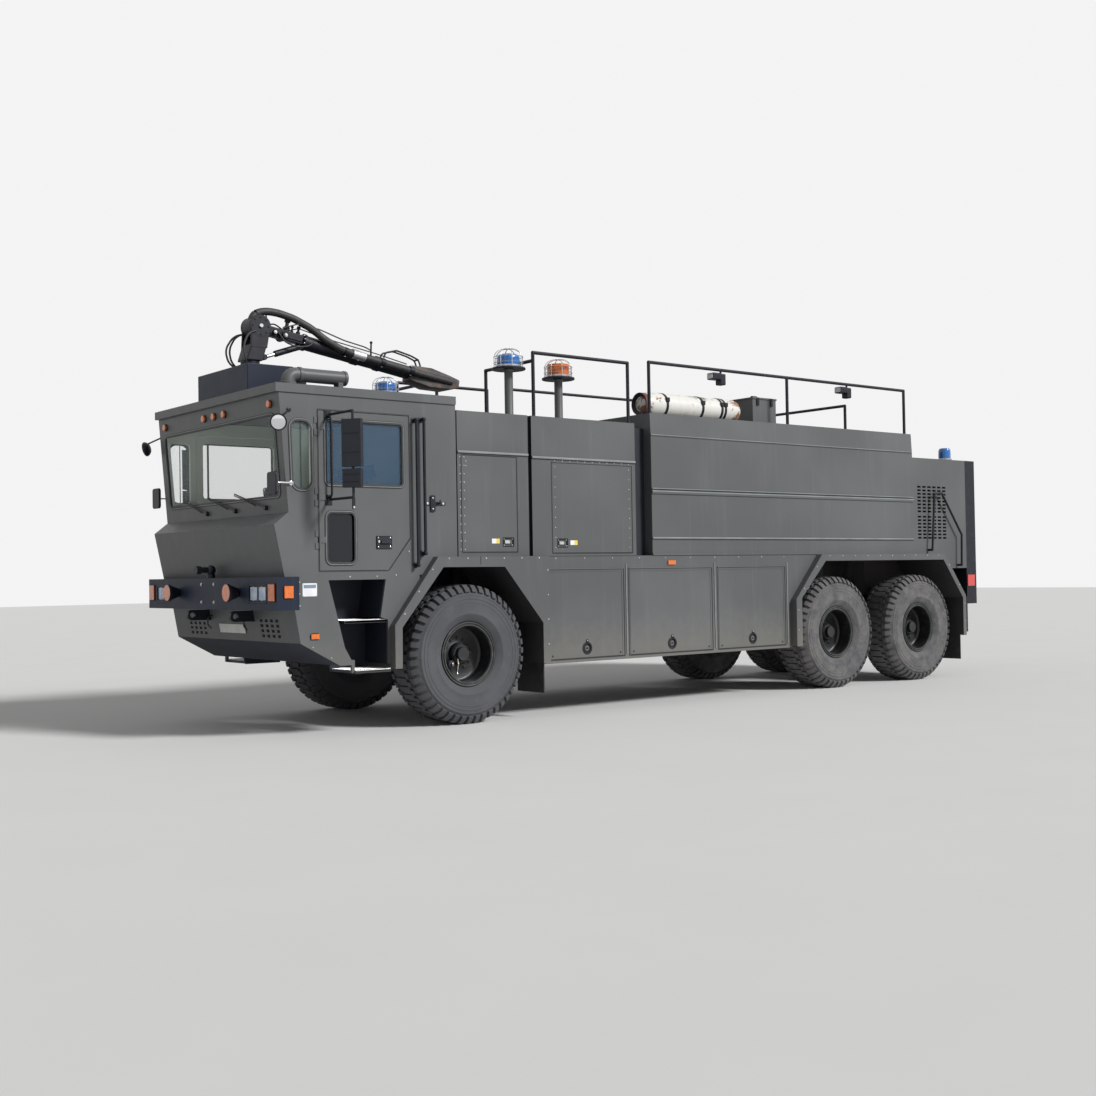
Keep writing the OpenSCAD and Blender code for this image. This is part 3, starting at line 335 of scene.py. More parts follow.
def rimFinish():
    material, shader, coords = shade("wheelPaint")
    worn = ramp(noise(coords, 11, 6, 0.7), 0.48, 0.74)
    # The outer flange is painted lighter, as a painted highlight where it catches the light and as dust; the well
    # stays dark
    flange = ramp(absolute(axes(coords)[1]), 1.355, 1.385)
    tone = mixColour(worn, rgb(0.007, 0.008, 0.009), rgb(0.028, 0.03, 0.029))
    tone = mixColour(flange, tone, mixColour(worn, rgb(0.038, 0.043, 0.041), rgb(0.095, 0.1, 0.094)))
    rust = ramp(noise(coords, 26, 6, 0.75), 0.66, 0.82) * 0.5
    tone = mixColour(rust, tone, rgb(0.13, 0.065, 0.035))
    look(shader, tone, 0.42 + worn * 0.25, noise(coords, 90, 3), 0.12, 0.001)
    return material


def steelFinish():
    material, shader, coords = shade("wornSteel", Metallic=1)
    worn = noise(coords, 40, 5, 0.7)
    look(shader, mixColour(worn, rgb(0.38, 0.38, 0.38), rgb(0.62, 0.62, 0.61)), 0.24 + worn * 0.3)
    return material


def chromeFinish():
    material, shader, coords = shade("brightChrome", Metallic=1)
    haze = ramp(noise(coords, 22, 4), 0.4, 0.8)
    look(shader, mixColour(haze, rgb(0.86, 0.87, 0.88), rgb(0.66, 0.67, 0.68)), 0.08 + haze * 0.16)
    return material


def glassFinish():
    material, shader, coords = shade("cabGlass", Alpha=0.09, IOR=1.5)
    film = ramp(noise(coords, 2.4, 4, 0.5), 0.35, 0.85)
    look(shader, mixColour(film * 0.4, rgb(0.62, 0.78, 0.74), rgb(0.32, 0.38, 0.4)), 0.02 + film * 0.04)
    return material


def sideGlassFinish():
    # The near side is given a painted reflection of the sky, the far side lets the light through, and the foot
    # windows are painted dark as shade inside the door
    material, shader, coords = shade("sideGlass", IOR=1.5)
    _, y, z = axes(coords)
    foot = z < 2.3
    film = ramp(noise(coords, 2.4, 4, 0.5), 0.35, 0.85)
    look(shader, mixColour(foot, rgb(0.045, 0.098, 0.165), rgb(0.007, 0.01, 0.014)))
    coords.feed(shader.inputs["Alpha"], (y > 0) * 0.42 + 0.12 + foot * 0.34)
    coords.feed(shader.inputs["Roughness"], film * 0.04 + 0.02)
    return material


def lensFinish(name, deep, bright, ribs):
    material, shader, coords = shade(name, Coat_Weight=0.6, Coat_Roughness=0.08)
    x, y, _ = axes(coords)
    grain = noise(coords, 34, 3)
    wave = ((x + y) * ribs).maths("SINE")
    look(shader, mixColour(grain, rgb(*deep), rgb(*bright)), 0.18 + grain * 0.12, wave, 0.35)
    return material


def seatFinish():
    material, shader, coords = shade("wovenSeat", Sheen_Weight=0.25, Sheen_Roughness=0.5)
    x, y, z = axes(coords)
    threads = (x * 1900).maths("SINE") * (y * 1900).maths("SINE") + (z * 1900).maths("SINE") * 0.5
    look(shader, mixColour(noise(coords, 12, 4), rgb(0.045, 0.052, 0.048), rgb(0.085, 0.092, 0.085)),
        0.82 + noise(coords, 50, 2) * 0.12, threads, 0.3, 0.0008)
    return material


def dashFinish():
    material, shader, coords = shade("dashPlastic")
    grain = noise(coords, 320, 2)
    look(shader, mixColour(noise(coords, 3, 3), rgb(0.05, 0.06, 0.052), rgb(0.075, 0.088, 0.078)), 0.5 + grain * 0.2,
        grain, 0.25, 0.0008)
    return material


def castIronFinish():
    material, shader, coords = shade("castIron", Metallic=0.6)
    rough = noise(coords, 70, 4)
    look(shader, mixColour(rough, rgb(0.09, 0.09, 0.09), rgb(0.16, 0.15, 0.14)), 0.6 + rough * 0.25, rough, 0.3)
    return material


def bottleFinish():
    material, shader, coords = shade("chippedWhite")
    ends = ramp(absolute(axes(coords)[0] - at(5.95)), 0.45, 0.85)
    blotch = noise(coords, 7, 7, 0.72)
    rust = ramp(blotch + ends * 0.16, 0.6, 0.68)
    stainAndShade = ramp(noise(coords, 5, 5, 0.6, stretch=(2.5, 1, 0.6)), 0.5, 0.8)
    paint = mixColour(stainAndShade * 0.5, rgb(0.72, 0.71, 0.67), rgb(0.5, 0.46, 0.38))
    rusty = mixColour(noise(coords, 40, 4), rgb(0.17, 0.075, 0.035), rgb(0.34, 0.17, 0.08))
    look(shader, mixColour(rust, paint, rusty), 0.38 + rust * 0.45, 1 - rust, 0.4, 0.001)
    return material


def plainFinish(name, first, second, scale, gloss, metal=0):
    material, shader, coords = shade(name, Metallic=metal)
    cloud = noise(coords, scale, 4)
    look(shader, mixColour(ramp(cloud, 0.35, 0.7), rgb(*first), rgb(*second)), gloss + cloud * 0.15)
    return material


plainPaints = {"bead": ("greyBead", (0.17, 0.18, 0.18), (0.24, 0.25, 0.25), 12, 0.35),
    "mirror": ("mirrorGlass", (0.8, 0.82, 0.84), (0.7, 0.72, 0.74), 5, 0.02, 1),
    "plate": ("blankPlate", (0.52, 0.53, 0.5), (0.62, 0.63, 0.6), 6, 0.35),
    "signWhite": ("signWhite", (0.72, 0.73, 0.73), (0.82, 0.83, 0.83), 10, 0.35),
    "signBand": ("signBand", (0.16, 0.22, 0.33), (0.2, 0.26, 0.36), 10, 0.35),
    "yellow": ("labelYellow", (0.75, 0.55, 0.08), (0.82, 0.62, 0.14), 14, 0.4),
    "rivet": ("wornRivet", (0.36, 0.3, 0.3), (0.56, 0.5, 0.48), 60, 0.35, 0.3),
    "brass": ("dullBrass", (0.5, 0.32, 0.2), (0.62, 0.44, 0.32), 40, 0.3, 0.9),
    "wire": ("cageWire", (0.42, 0.43, 0.44), (0.55, 0.56, 0.57), 30, 0.3, 0.9),
    "lampGlass": ("lampGlass", (0.44, 0.54, 0.72), (0.72, 0.78, 0.86), 9, 0.1),
    "bill": ("rustyBill", (0.032, 0.03, 0.032), (0.115, 0.08, 0.062), 9, 0.45),
    # Lighter than the olive: a painted highlight along the lips and door posts
    "lip": ("lipHighlight", (0.17, 0.185, 0.19), (0.235, 0.25, 0.255), 3, 0.42),
    "shadow": ("darkCore", (0.01, 0.011, 0.013), (0.022, 0.023, 0.026), 30, 0.6),
    "darkRed": ("darkRedRing", (0.085, 0.022, 0.02), (0.15, 0.05, 0.035), 14, 0.5),
    "clearPlain": ("lampFace", (0.45, 0.48, 0.5), (0.6, 0.63, 0.66), 20, 0.15)}
finishes = {key: plainFinish(*row) for key, row in plainPaints.items()}
lensPaints = {"clear": ("headlampGlass", (0.55, 0.6, 0.66), (0.8, 0.84, 0.88), 620),
    "amber": ("amberLens", (0.56, 0.1, 0.012), (0.86, 0.215, 0.03), 420),
    "blue": ("blueLens", (0.005, 0.075, 0.34), (0.015, 0.21, 0.62), 240),
    "red": ("redLens", (0.45, 0.02, 0.02), (0.75, 0.06, 0.05), 420)}
finishes.update({key: lensFinish(*row) for key, row in lensPaints.items()})
# Olive finishes with painted shade on the parts their masks name
maskPaints = {"upper": ("oliveUpper", upperMask, rgb(0.012, 0.013, 0.018)),
    "arch": ("oliveArch", archMask, rgb(0.02, 0.02, 0.021)),
    "base": ("oliveBase", baseMask, rgb(0.013, 0.016, 0.025), 0.3),
    "lower": ("oliveLower", lowerMask, rgb(0.02, 0.02, 0.021))}
finishes.update({key: maskedFinish(*row) for key, row in maskPaints.items()})
finishes.update({"cabPaint": sheetPaint("oliveDrab")[0], "olive": sheetPaint("oliveDrab")[0], "cab": cabFinish(),
    "door": doorFinish(), "black": blackFinish(), "slate": sheetPaint("slatePaint", slate, 0.25, 0.2)[0],
    "rubber": rubberFinish(), "frontTyre": tyreFinish("frontTyreRubber", 0.25),
    "rearTyre": tyreFinish("rearTyreRubber", 0.75), "rim": rimFinish(), "steel": steelFinish(),
    "chrome": chromeFinish(), "glass": glassFinish(), "sideGlass": sideGlassFinish(), "seat": seatFinish(),
    "dash": dashFinish(), "iron": castIronFinish(), "bottle": bottleFinish()})
print("finishes made")


# CAD nodes that keep their shape and get their finish here
nodeFinish = {"olive": ["tank", "engine_box"], "upper": ["upper_body"], "arch": ["flares"], "base": ["cab_base"],
    "lower": ["lower_body"], "cab": ["cab_shell"], "door": ["door_left", "door_right"],
    "slate": ["bumper", "monitor_housing"],
    "black": ["chassis_frame", "axles", "knuckle_left", "knuckle_right", "tie_rod", "lamp_housings", "rear_cowl",
        "handrails", "monitor_riser", "monitor_boom", "bumper_monitor", "wipers", "corner_mirrors"],
    "rubber": ["mudflaps"], "glass": ["cab_glass"], "sideGlass": ["door_glass_left", "door_glass_right"],
    "clear": ["lenses_clear"], "amber": ["lenses_amber"], "blue": ["lenses_blue"], "red": ["lenses_red"],
    "dash": ["dashboard"], "seat": ["seats"], "iron": ["engine_block"], "bottle": ["gas_bottle"],
    "frontTyre": ["tyre_front_left", "tyre_front_right"],
    "rearTyre": ["tyre_middle_left", "tyre_middle_right", "tyre_rear_left", "tyre_rear_right"],
    "rim": [name for name in nodes if name.startswith("rim_")]}
nodeFinish["olive"] += [name for name in nodes if name.startswith(("lower_door", "upper_door"))]


def dress(thing, finish):
    thing.data.materials.clear()
    thing.data.materials.append(finishes[finish])
    return thing


for finish, names in nodeFinish.items():
    for name in names:
        dress(nodes[name], finish)
print("CAD nodes painted")


# Modelling steps used by the pieces below
weld = 2e-05
sunk = 0.001  # how far a fitted part reaches into the sheet under it


def pick(*things):
    bpy.ops.object.select_all(action="DESELECT")
    for thing in things:
        thing.select_set(True)
    bpy.context.view_layer.objects.active = things[0]


def editing(thing, kind="FACE"):
    pick(thing)
    bpy.ops.object.mode_set(mode="EDIT")
    bpy.ops.mesh.select_mode(type=kind)


def done():
    bpy.ops.object.mode_set(mode="OBJECT")


def selectAll():
    bpy.ops.mesh.select_all(action="SELECT")


def drawOut(way):
    bpy.ops.mesh.extrude_region_move(TRANSFORM_OT_translate={"value": way})


def settle(name):
    thing = bpy.context.object
    pick(thing)
    bpy.ops.object.transform_apply(location=True, rotation=True, scale=True)
    thing.name = name
    return thing


def choose(thing, test, kind="faces"):
    # Selects the faces, edges or vertices of the mesh in edit mode that pass the test
    bpy.ops.mesh.select_all(action="DESELECT")
    mesh = bmesh.from_edit_mesh(thing.data)
    mesh.normal_update()
    for item in getattr(mesh, kind):
        item.select_set(bool(test(item)))
    mesh.select_flush_mode()
    bmesh.update_edit_mesh(thing.data)


def faceOut(thing):
    editing(thing)
    selectAll()
    bpy.ops.mesh.remove_doubles(threshold=weld)
    bpy.ops.mesh.normals_make_consistent(inside=False)
    done()
    return thing


def smooth(thing, angle=32):
    pick(thing)
    bpy.ops.object.shade_smooth_by_angle(angle=radians(angle))
    return thing


def add(parts, finish, thing):
    parts.append(dress(thing, finish))


def bevelSharp(thing, size, steps=2, angle=40):
    editing(thing, "EDGE")
    choose(thing, lambda e: len(e.link_faces) == 2 and e.calc_face_angle() > radians(angle), "edges")
    bpy.ops.mesh.bevel(offset=size, segments=steps, affect="EDGES", clamp_overlap=True)
    done()
    return thing


def block(name, low, high, edge=0, steps=2):
    low, high = (Vector(low), Vector(high))
    low, high = (Vector(map(test, low, high)) for test in (min, max))
    bpy.ops.mesh.primitive_cube_add(size=1, location=(low + high) / 2, scale=high - low)
    thing = settle(name)
    return bevelSharp(thing, edge, steps) if edge else thing


def bar(name, start, end, radius, sides=16, edge=0, steps=2):
    start, end = (Vector(start), Vector(end))
    way = end - start
    turn = way.to_track_quat("Z", "Y").to_euler()
    bpy.ops.mesh.primitive_cylinder_add(vertices=sides, radius=radius, depth=way.length, location=(start + end) / 2,
        rotation=turn)
    thing = settle(name)
    return bevelSharp(thing, edge, steps, 60) if edge else thing


def drawn(name, points, closed=False):
    points = [Vector(point) for point in points]
    bpy.ops.mesh.primitive_plane_add(size=0.01, location=points[0])
    thing = settle(name)
    editing(thing, "VERT")
    selectAll()
    bpy.ops.mesh.merge(type="CENTER")
    for before, after in zip(points, points[1:]):
        bpy.ops.mesh.extrude_vertices_move(TRANSFORM_OT_translate={"value": after - before})
    if closed:
        bpy.ops.mesh.extrude_vertices_move(TRANSFORM_OT_translate={"value": points[0] - points[-1]})
        selectAll()
        bpy.ops.mesh.remove_doubles(threshold=weld)
        selectAll()
        bpy.ops.mesh.edge_face_add()
    done()
    return thing


def echoed(*half):
    # A profile followed by its mirror image
    return [*half, *[(radius, -along) for radius, along in reversed(half) if along]]


def turned(name, profile, centre, axis, steps=48, smoothAt=32):
    # A profile of (radius, distance along the axis) turned all the way round; a ring is closed first
    centre, axis = (Vector(centre), Vector(axis).normalized())
    side = axis.orthogonal().normalized()
    profile = list(profile) + ([profile[0]] if profile[0][0] else [])
    thing = drawn(name, [centre + side * radius + axis * along for radius, along in profile])
    editing(thing, "VERT")
    selectAll()
    bpy.ops.mesh.spin(steps=steps, angle=tau, center=centre, axis=axis)
    done()
    return smooth(faceOut(thing), smoothAt)


def pipe(name, points, radius, bend=0, sides=3):
    # A tube along a line whose corners are rounded first
    thing = drawn(name, points)
    if bend:
        editing(thing, "VERT")
        selectAll()
        bpy.ops.mesh.bevel(offset=bend, segments=5, affect="VERTICES")
        done()
    pick(thing)
    bpy.ops.object.convert(target="CURVE")
    curve = bpy.context.object
    curve.data.bevel_depth = radius
    curve.data.bevel_resolution = sides
    curve.data.use_fill_caps = True
    bpy.ops.object.convert(target="MESH")
    thing = faceOut(bpy.context.object)
    thing.name = name
    return smooth(thing, 50)


def slab(name, corners, rise, rounding=0, edge=0, ring=0):
    # A flat outline, its corners rounded, drawn out by rise; with ring it is an open frame
    rise = Vector(rise)
    thing = drawn(name, corners, closed=True)
    editing(thing, "VERT")
    selectAll()
    if rounding:
        bpy.ops.mesh.bevel(offset=rounding, segments=6, affect="VERTICES")
    bpy.ops.mesh.select_mode(type="FACE")
    selectAll()
    if ring:
        bpy.ops.mesh.inset(thickness=ring, use_even_offset=True)
        bpy.ops.mesh.delete(type="FACE")
        selectAll()
    drawOut(rise)
    done()
    faceOut(thing)
    return bevelSharp(thing, edge, 2, 50) if edge else thing


def row(thing, step, count):
    # Repeats a small piece along a line
    pick(thing)
    array = thing.modifiers.new("row", "ARRAY")
    array.use_relative_offset = False
    array.use_constant_offset = True
    array.constant_offset_displace = step
    array.count = count
    bpy.ops.object.modifier_apply(modifier="row")
    return thing


def ringOf(thing, count, centre, axis):
    editing(thing, "VERT")
    selectAll()
    bpy.ops.mesh.spin(steps=count, angle=tau, center=centre, axis=axis, dupli=True)
    done()
    return faceOut(thing)


def joined(name, things):
    pick(*things)
    if len(things) > 1:
        bpy.ops.object.join()
    thing = bpy.context.object
    thing.name = name
    return thing


def copied(thing, name):
    pick(thing)
    bpy.ops.object.duplicate(linked=False)
    twin = bpy.context.object
    twin.name = name
    return twin


def mirrored(thing, name):
    twin = copied(thing, name)
    editing(twin)
    selectAll()
    bpy.ops.transform.resize(value=(1, -1, 1), center_override=(0, 0, 0))
    bpy.ops.mesh.flip_normals()
    done()
    return twin


def turnedTo(thing, angle, axis, centre):
    editing(thing)
    selectAll()
    bpy.ops.transform.rotate(value=angle, orient_axis=axis, center_override=centre)
    done()
    return thing


def rivet(place, facing, radius):
    place, facing = (Vector(place), Vector(facing))
    return bar("rivet", place - facing * sunk, place + facing * radius * 0.55, radius, 8, radius * 0.35)


def bolt(place, facing, radius):
    # Hexagon head on its washer
    place, facing = (Vector(place), Vector(facing))
    washer = bar("washer", place - facing * sunk, place + facing * 0.0025, radius * 1.5, 12)
    nut = bar("nut", place + facing * 0.0024, place + facing * radius * 0.9, radius, 6, radius * 0.15)
    return joined("bolt", [washer, nut])


# Wheels: profiles are (distance from the axle, distance outwards from the wheel's middle plane)
wheel = {"axles": (("front", at(2.33)), ("middle", at(8.36)), ("rear", at(10.14))), "y": 1.175, "z": 0.745,
    "pitches": 47, "stepsPerPitch": 5,
    "sidewall": ((0.318, 0.1893), (0.351, 0.1893), (0.353, 0.203), (0.385, 0.231), (0.42, 0.2445), (0.424, 0.2475),
        (0.436, 0.25), (0.44, 0.2485), (0.5, 0.257), (0.545, 0.2574), (0.549, 0.2604), (0.556, 0.2604),
        (0.56, 0.2572), (0.585, 0.2566), (0.589, 0.26), (0.596, 0.2598), (0.6, 0.2556), (0.622, 0.253),
        (0.626, 0.2562), (0.632, 0.255), (0.638, 0.249), (0.654, 0.237)),
    "tread": ((0.69, 0.214), (0.716, 0.188), (0.718, 0.147), (0.7185, 0.119), (0.7185, 0.065)), "lug": 0.0255,
    "rows": (0.147, 0.119, 0.065), "faceLimit": 0.93}
rim = {
    "profile": ((0, 0.118), (0.07, 0.118), (0.0745, 0.1125), (0.078, 0.072), (0.08, 0.07), (0.095, 0.07),
        (0.112, 0.05), (0.115, 0.044), (0.115, 0.006), (0.121, -0.003), (0.13, -0.006), (0.27, -0.006), (0.285, 0),
        (0.2955, 0.014), (0.2955, 0.19), (0.297, 0.202), (0.302, 0.21), (0.306, 0.214), (0.314, 0.214),
        (0.318, 0.21), (0.32, 0.202), (0.329, 0.203), (0.331, 0.212), (0.335, 0.2148), (0.341, 0.214),
        (0.3448, 0.208), (0.3448, 0.194), (0.341, 0.19), (0.325, 0.19), (0.3176, 0.185), (0.3176, -0.185),
        (0.325, -0.19), (0.341, -0.19), (0.3448, -0.194), (0.3448, -0.21), (0.34, -0.2148), (0.3, -0.2148),
        (0.2955, -0.21), (0.2955, -0.03), (0.095, -0.03), (0.095, -0.075), (0.0451, -0.075), (0.0451, 0.062),
        (0, 0.062)), "studs": 12, "studRing": 0.168, "capBolts": 8, "capRing": 0.097}


def hub(x):
    return Vector((x, wheel["y"], wheel["z"]))


def makeTyre(x):
    steps = wheel["pitches"] * wheel["stepsPerPitch"]
    side = wheel["sidewall"] + wheel["tread"]
    profile = echoed(*side)
    centre = hub(x)
    tyre = turned("tyre", profile, centre, out, steps)
    treadFoot = wheel["sidewall"][-1][0]

    def isLug(face):
        where = face.calc_center_median() - centre
        radius, y = (hypot(where.x, where.z), where.y)
        if radius < treadFoot or abs(face.normal.y) > wheel["faceLimit"]:
            return False
        pitch = wheel["stepsPerPitch"]
        along = atan2(where.z, where.x) / tau * steps
        step = along + (0 if y > 0 else pitch / 2)
        shoulder, groove, middle = wheel["rows"]
        if abs(y) > shoulder:
            return step % pitch < 3
        if abs(y) > groove:
            return False
        if abs(y) > middle:
            return (step + 2) % pitch < 3
        return (along + 1) % pitch < 3.9

    editing(tyre)
    choose(tyre, isLug)
    bpy.ops.mesh.extrude_region_shrink_fatten(TRANSFORM_OT_shrink_fatten={"value": wheel["lug"]})
    done()
    return smooth(faceOut(tyre), 38)


def makeRim(x):
    centre = hub(x)
    body = turned("rim", rim["profile"], centre, out, 96)
    stud = bolt(centre + Vector((rim["studRing"], -0.006, 0)), out, 0.016)
    studs = ringOf(stud, rim["studs"], centre, out)
    capBolt = bolt(centre + Vector((rim["capRing"], 0.066, 0)), out, 0.008)
    caps = ringOf(capBolt, rim["capBolts"], centre, out)
    return joined("rim", [dress(thing, "rim") for thing in (body, studs, caps)])


def makeWheels():
    first = wheel["axles"][0][1]
    tyre, rimPiece = (makeTyre(first), makeRim(first))
    for axle, x in wheel["axles"]:
        for sign, side in sides:
            corner = f"{axle}_{side}"
            for source, kind in ((tyre, "tyre"), (rimPiece, "rim")):
                piece = copied(source, kind + axle.title() + side.title())
                editing(piece)
                selectAll()
                bpy.ops.transform.translate(value=(x - first, 0, 0))
                done()
                if sign < 0:
                    turnedTo(piece, pi, "Z", (x, 0, 0))
                if kind == "tyre":
                    dress(piece, "frontTyre" if axle == "front" else "rearTyre")
                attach(piece, f"wheel_{corner}")
                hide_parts(f"{kind}_{corner}")
    for source in (tyre, rimPiece):
        bpy.data.objects.remove(source)


makeWheels()
print("wheels made")


def bothSides(things, name, body="root"):
    # Joins what was made on the left, and gives the right side its own mirrored mesh
    left = joined(name + "Left", things)
    right = mirrored(left, name + "Right")
    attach(left, body.format("left"))
    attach(right, body.format("right"))


def whole(things, name, *stands, body="root"):
    piece = joined(name, things)
    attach(piece, body)
    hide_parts(*stands)
    return piece


def doubled(things, name, *stands):
    # One piece of both sides
    left = joined(name + "Left", things)
    whole([left, mirrored(left, name + "Right")], name, *stands)


def screenFace(z):
    return screen["foot"] - screen["slope"] * (z - screen["z"])


def corners(a0, a1, b0, b1, grow=0):
    a0, a1, b0, b1 = (a0 - grow, a1 + grow, b0 - grow, b1 + grow)
    return ((a0, b0), (a1, b0), (a1, b1), (a0, b1))


def frontOutline(s, y0, y1, z0, z1, grow=0):
    return [spot(s, y, z) for y, z in corners(y0, y1, z0, z1, grow)]


def shrunk(points, factor):
    middle = sum(points, Vector()) / len(points)
    return [middle + (point - middle) * factor for point in points]


def sideOutline(s0, s1, z0, z1, y, grow=0):
    return [spot(s, y, z) for s, z in corners(s0, s1, z0, z1, grow)]


def panel(name, place, y, rise, *shape, grow=0):
    # A slab on the truck's side; place is (s, s, z, z)
    return slab(name, sideOutline(*place, y, grow), out * rise, *shape)


def strip(name, s0, s1, z0, z1, rise, edge=0):
    return block(name, spot(s1, skin - sunk, z0), spot(s0, skin + rise, z1), edge)


def around(place, *points):
    return [place + Vector(point) for point in points]


def spots(*points):
    return [spot(*point) for point in points]


# Window seals: a rubber frame with a grey bead let into it
seals = {"width": 0.036, "lap": 0.022, "rise": 0.007, "beadIn": 0.01, "beadWidth": 0.006,
    "door": ((0.6, 1.5, 2.507, 3.15, 0.062), (0.602, 0.926, 1.723, 2.233, 0.078)),
    "corner": (0.232, 0.207, 0.444, 2.45, 3.13, 0.114)}


def sealFrame(name, outline, facing, rounding):
    facing = Vector(facing)
    foot = [point - facing * sunk for point in outline]
    rubber = dress(slab(name, foot, facing * (seals["rise"] + sunk), rounding, 0.003, seals["width"]), "rubber")
    middle = sum(outline, Vector()) / len(outline)
    across = facing.cross(up).normalized()
    level = across.cross(facing).normalized()
    inset = seals["beadIn"]
    inner = []
    for point in outline:
        away = point - middle
        inner.append(point - across * (inset if away.dot(across) > 0 else -inset) - level
            * (inset if away.dot(level) > 0 else -inset) + facing * (seals["rise"] - sunk))
    bead = slab("bead", inner, facing * 0.003, rounding * 0.85, 0, seals["beadWidth"])
    return [rubber, dress(bead, "bead")]


def makeSeals():
    doorParts = []
    for s0, s1, z0, z1, rounding in seals["door"]:
        doorParts += sealFrame("doorSeal", sideOutline(s0, s1, z0, z1, skin, seals["lap"]), out, rounding)
    # Post between the two panes, and a bright bar behind the lower window
    add(doorParts, "rubber", block("post", spot(0.69, 1.424, 2.51), spot(0.668, 1.436, 3.148), 0.003))
    add(doorParts, "chrome", bar("standpipe", spot(0.76, 1.392, 1.735), spot(0.76, 1.392, 1.99), 0.012, 16, 0.003))
    bothSides(doorParts, "doorSeals", "cab_door_{}")
    s0, s1, s2, z0, z1, rounding = seals["corner"]
    lap = seals["lap"]
    outline = spots((s0 - lap, skin, z0 - lap), (s2 + lap, skin, z0 - lap), (s2 + lap, skin, z1 + lap),
        (s1 - lap, skin, z1 + lap))
    corner = sealFrame("cornerSeal", outline, out, rounding)
    add(corner, "rubber", block("cornerBar", spot(0.338, 1.418, 2.455), spot(0.33, 1.427, 3.125), 0.001))
    bothSides(corner, "cornerSeals")
    half, low, high = (1.3 + lap, 2.39 - lap, 3.185 + lap)
    facing = Vector((screen["slope"], 0, -1)).cross(out).normalized()
    facing = facing if facing.x > 0 else -facing
    outline = [spot(screenFace(z), y, z) for y, z in corners(-half, half, low, high)]
    whole(sealFrame("screenSeal", outline, facing, 0.075), "screenSeal")


makeSeals()
print("window seals made")


# Fittings of the cab doors
doorKit = {"plate": (1.17, 1.35, 1.87, 2.0), "face": 1.446, "lock": (1.196, 1.94), "turn": radians(35),
    "mirrorPlace": (0.64, 1.9), "heads": ((0.1, 2.65, 3.11, 0.04), (0.095, 2.45, 2.63, 0.034)),
    "brackets": ((3.14, 3.245), (2.3, 2.405))}


def makeDoorFittings():
    parts = []
    plate, face = (doorKit["plate"], doorKit["face"])
    for s, z in corners(*plate, -0.018):
        add(parts, "chrome", rivet(spot(s, face, z), out, 0.008))
    add(parts, "black", panel("handleRim", plate, face, 0.004, 0.014, 0.001, 0.01))
    s, z = doorKit["lock"]
    add(parts, "steel", bar("lock", spot(s, face, z), spot(s, face + 0.008, z), 0.013, 20, 0.002))
    # Mirror heads, turned back towards the driver: a rim and the glass in it
    turn = doorKit["turn"]
    across = Vector((-sin(turn), cos(turn), 0))
    facing = Vector((-cos(turn), -sin(turn), 0))
    middle = spot(*doorKit["mirrorPlace"], 0)
    rims = ((0.014, 0, "mirrorRim", "black", 0.014, 0.006), (0.0142, 0.014, "mirrorGlass", "mirror", 0, 0.003))
    for half, low, high, rounding in doorKit["heads"]:
        for lift, inset, name, finish, ring, rise in rims:
            outline = [middle + facing * lift + across * w + up * z for w, z in corners(-half, half, low, high,
                -inset)]
            add(parts, finish, slab(name, outline, facing * rise, rounding - inset, 0.001, ring))
        # Ribs across the back of the head and the clamp that holds it
        back = middle - facing * 0.0449
        for z in (low + (high - low) * 0.3, low + (high - low) * 0.7):
            rib = across * (half * 0.8)
            add(parts, "black", bar("headRib", back + rib + up * z, back - rib + up * z, 0.004, 8))
        z = (low + high) / 2
        add(parts, "black", block("clamp", *around(middle, (-0.018, -0.02, z - 0.02), (0.018, 0.02, z + 0.02)),
            0.004))
    for low, high in doorKit["brackets"]:
        add(parts, "black", strip("bracket", 0.585, 0.665, low, high, 0.007, 0.003))
        for z in (low + 0.018, high - 0.018):
            add(parts, "black", bolt(spot(0.605, skin + 0.007, z), out, 0.008))
    # Upright of the frame beside the door, its corners rounded
    near = [spot(0.632, skin + lift, z) for lift, z in ((0.004, 3.172), (0.062, 3.172), (0.062, 2.378),
        (0.004, 2.378))]
    add(parts, "black", pipe("frameUpright", near, 0.011, 0.045))
    add(parts, "black", block("hanger", *around(middle, (-0.016, -0.006, 2.24), (0.016, 0.006, 2.35)), 0.003))
    add(parts, "steel", bolt(middle + Vector((0, 0.006, 2.258)), out, 0.008))
    bothSides(parts, "doorFittings", "cab_door_{}")


makeDoorFittings()
print("door fittings made")


# Lamps
lampKit = {"cells": (0.952, 1.132), "cell": 0.164, "z": (1.3675, 1.5125), "front": 0.01, "ribs": 9,
    "turn": (1.375, 1.5, 1.37, 1.53), "side": (0.075, 0.17, 1.395, 1.51), "fog": (0.72, 1.45, 0.085),
    "foreheadZ": 3.29, "forehead": (-1.25, -0.24, 0, 0.24, 1.25)}


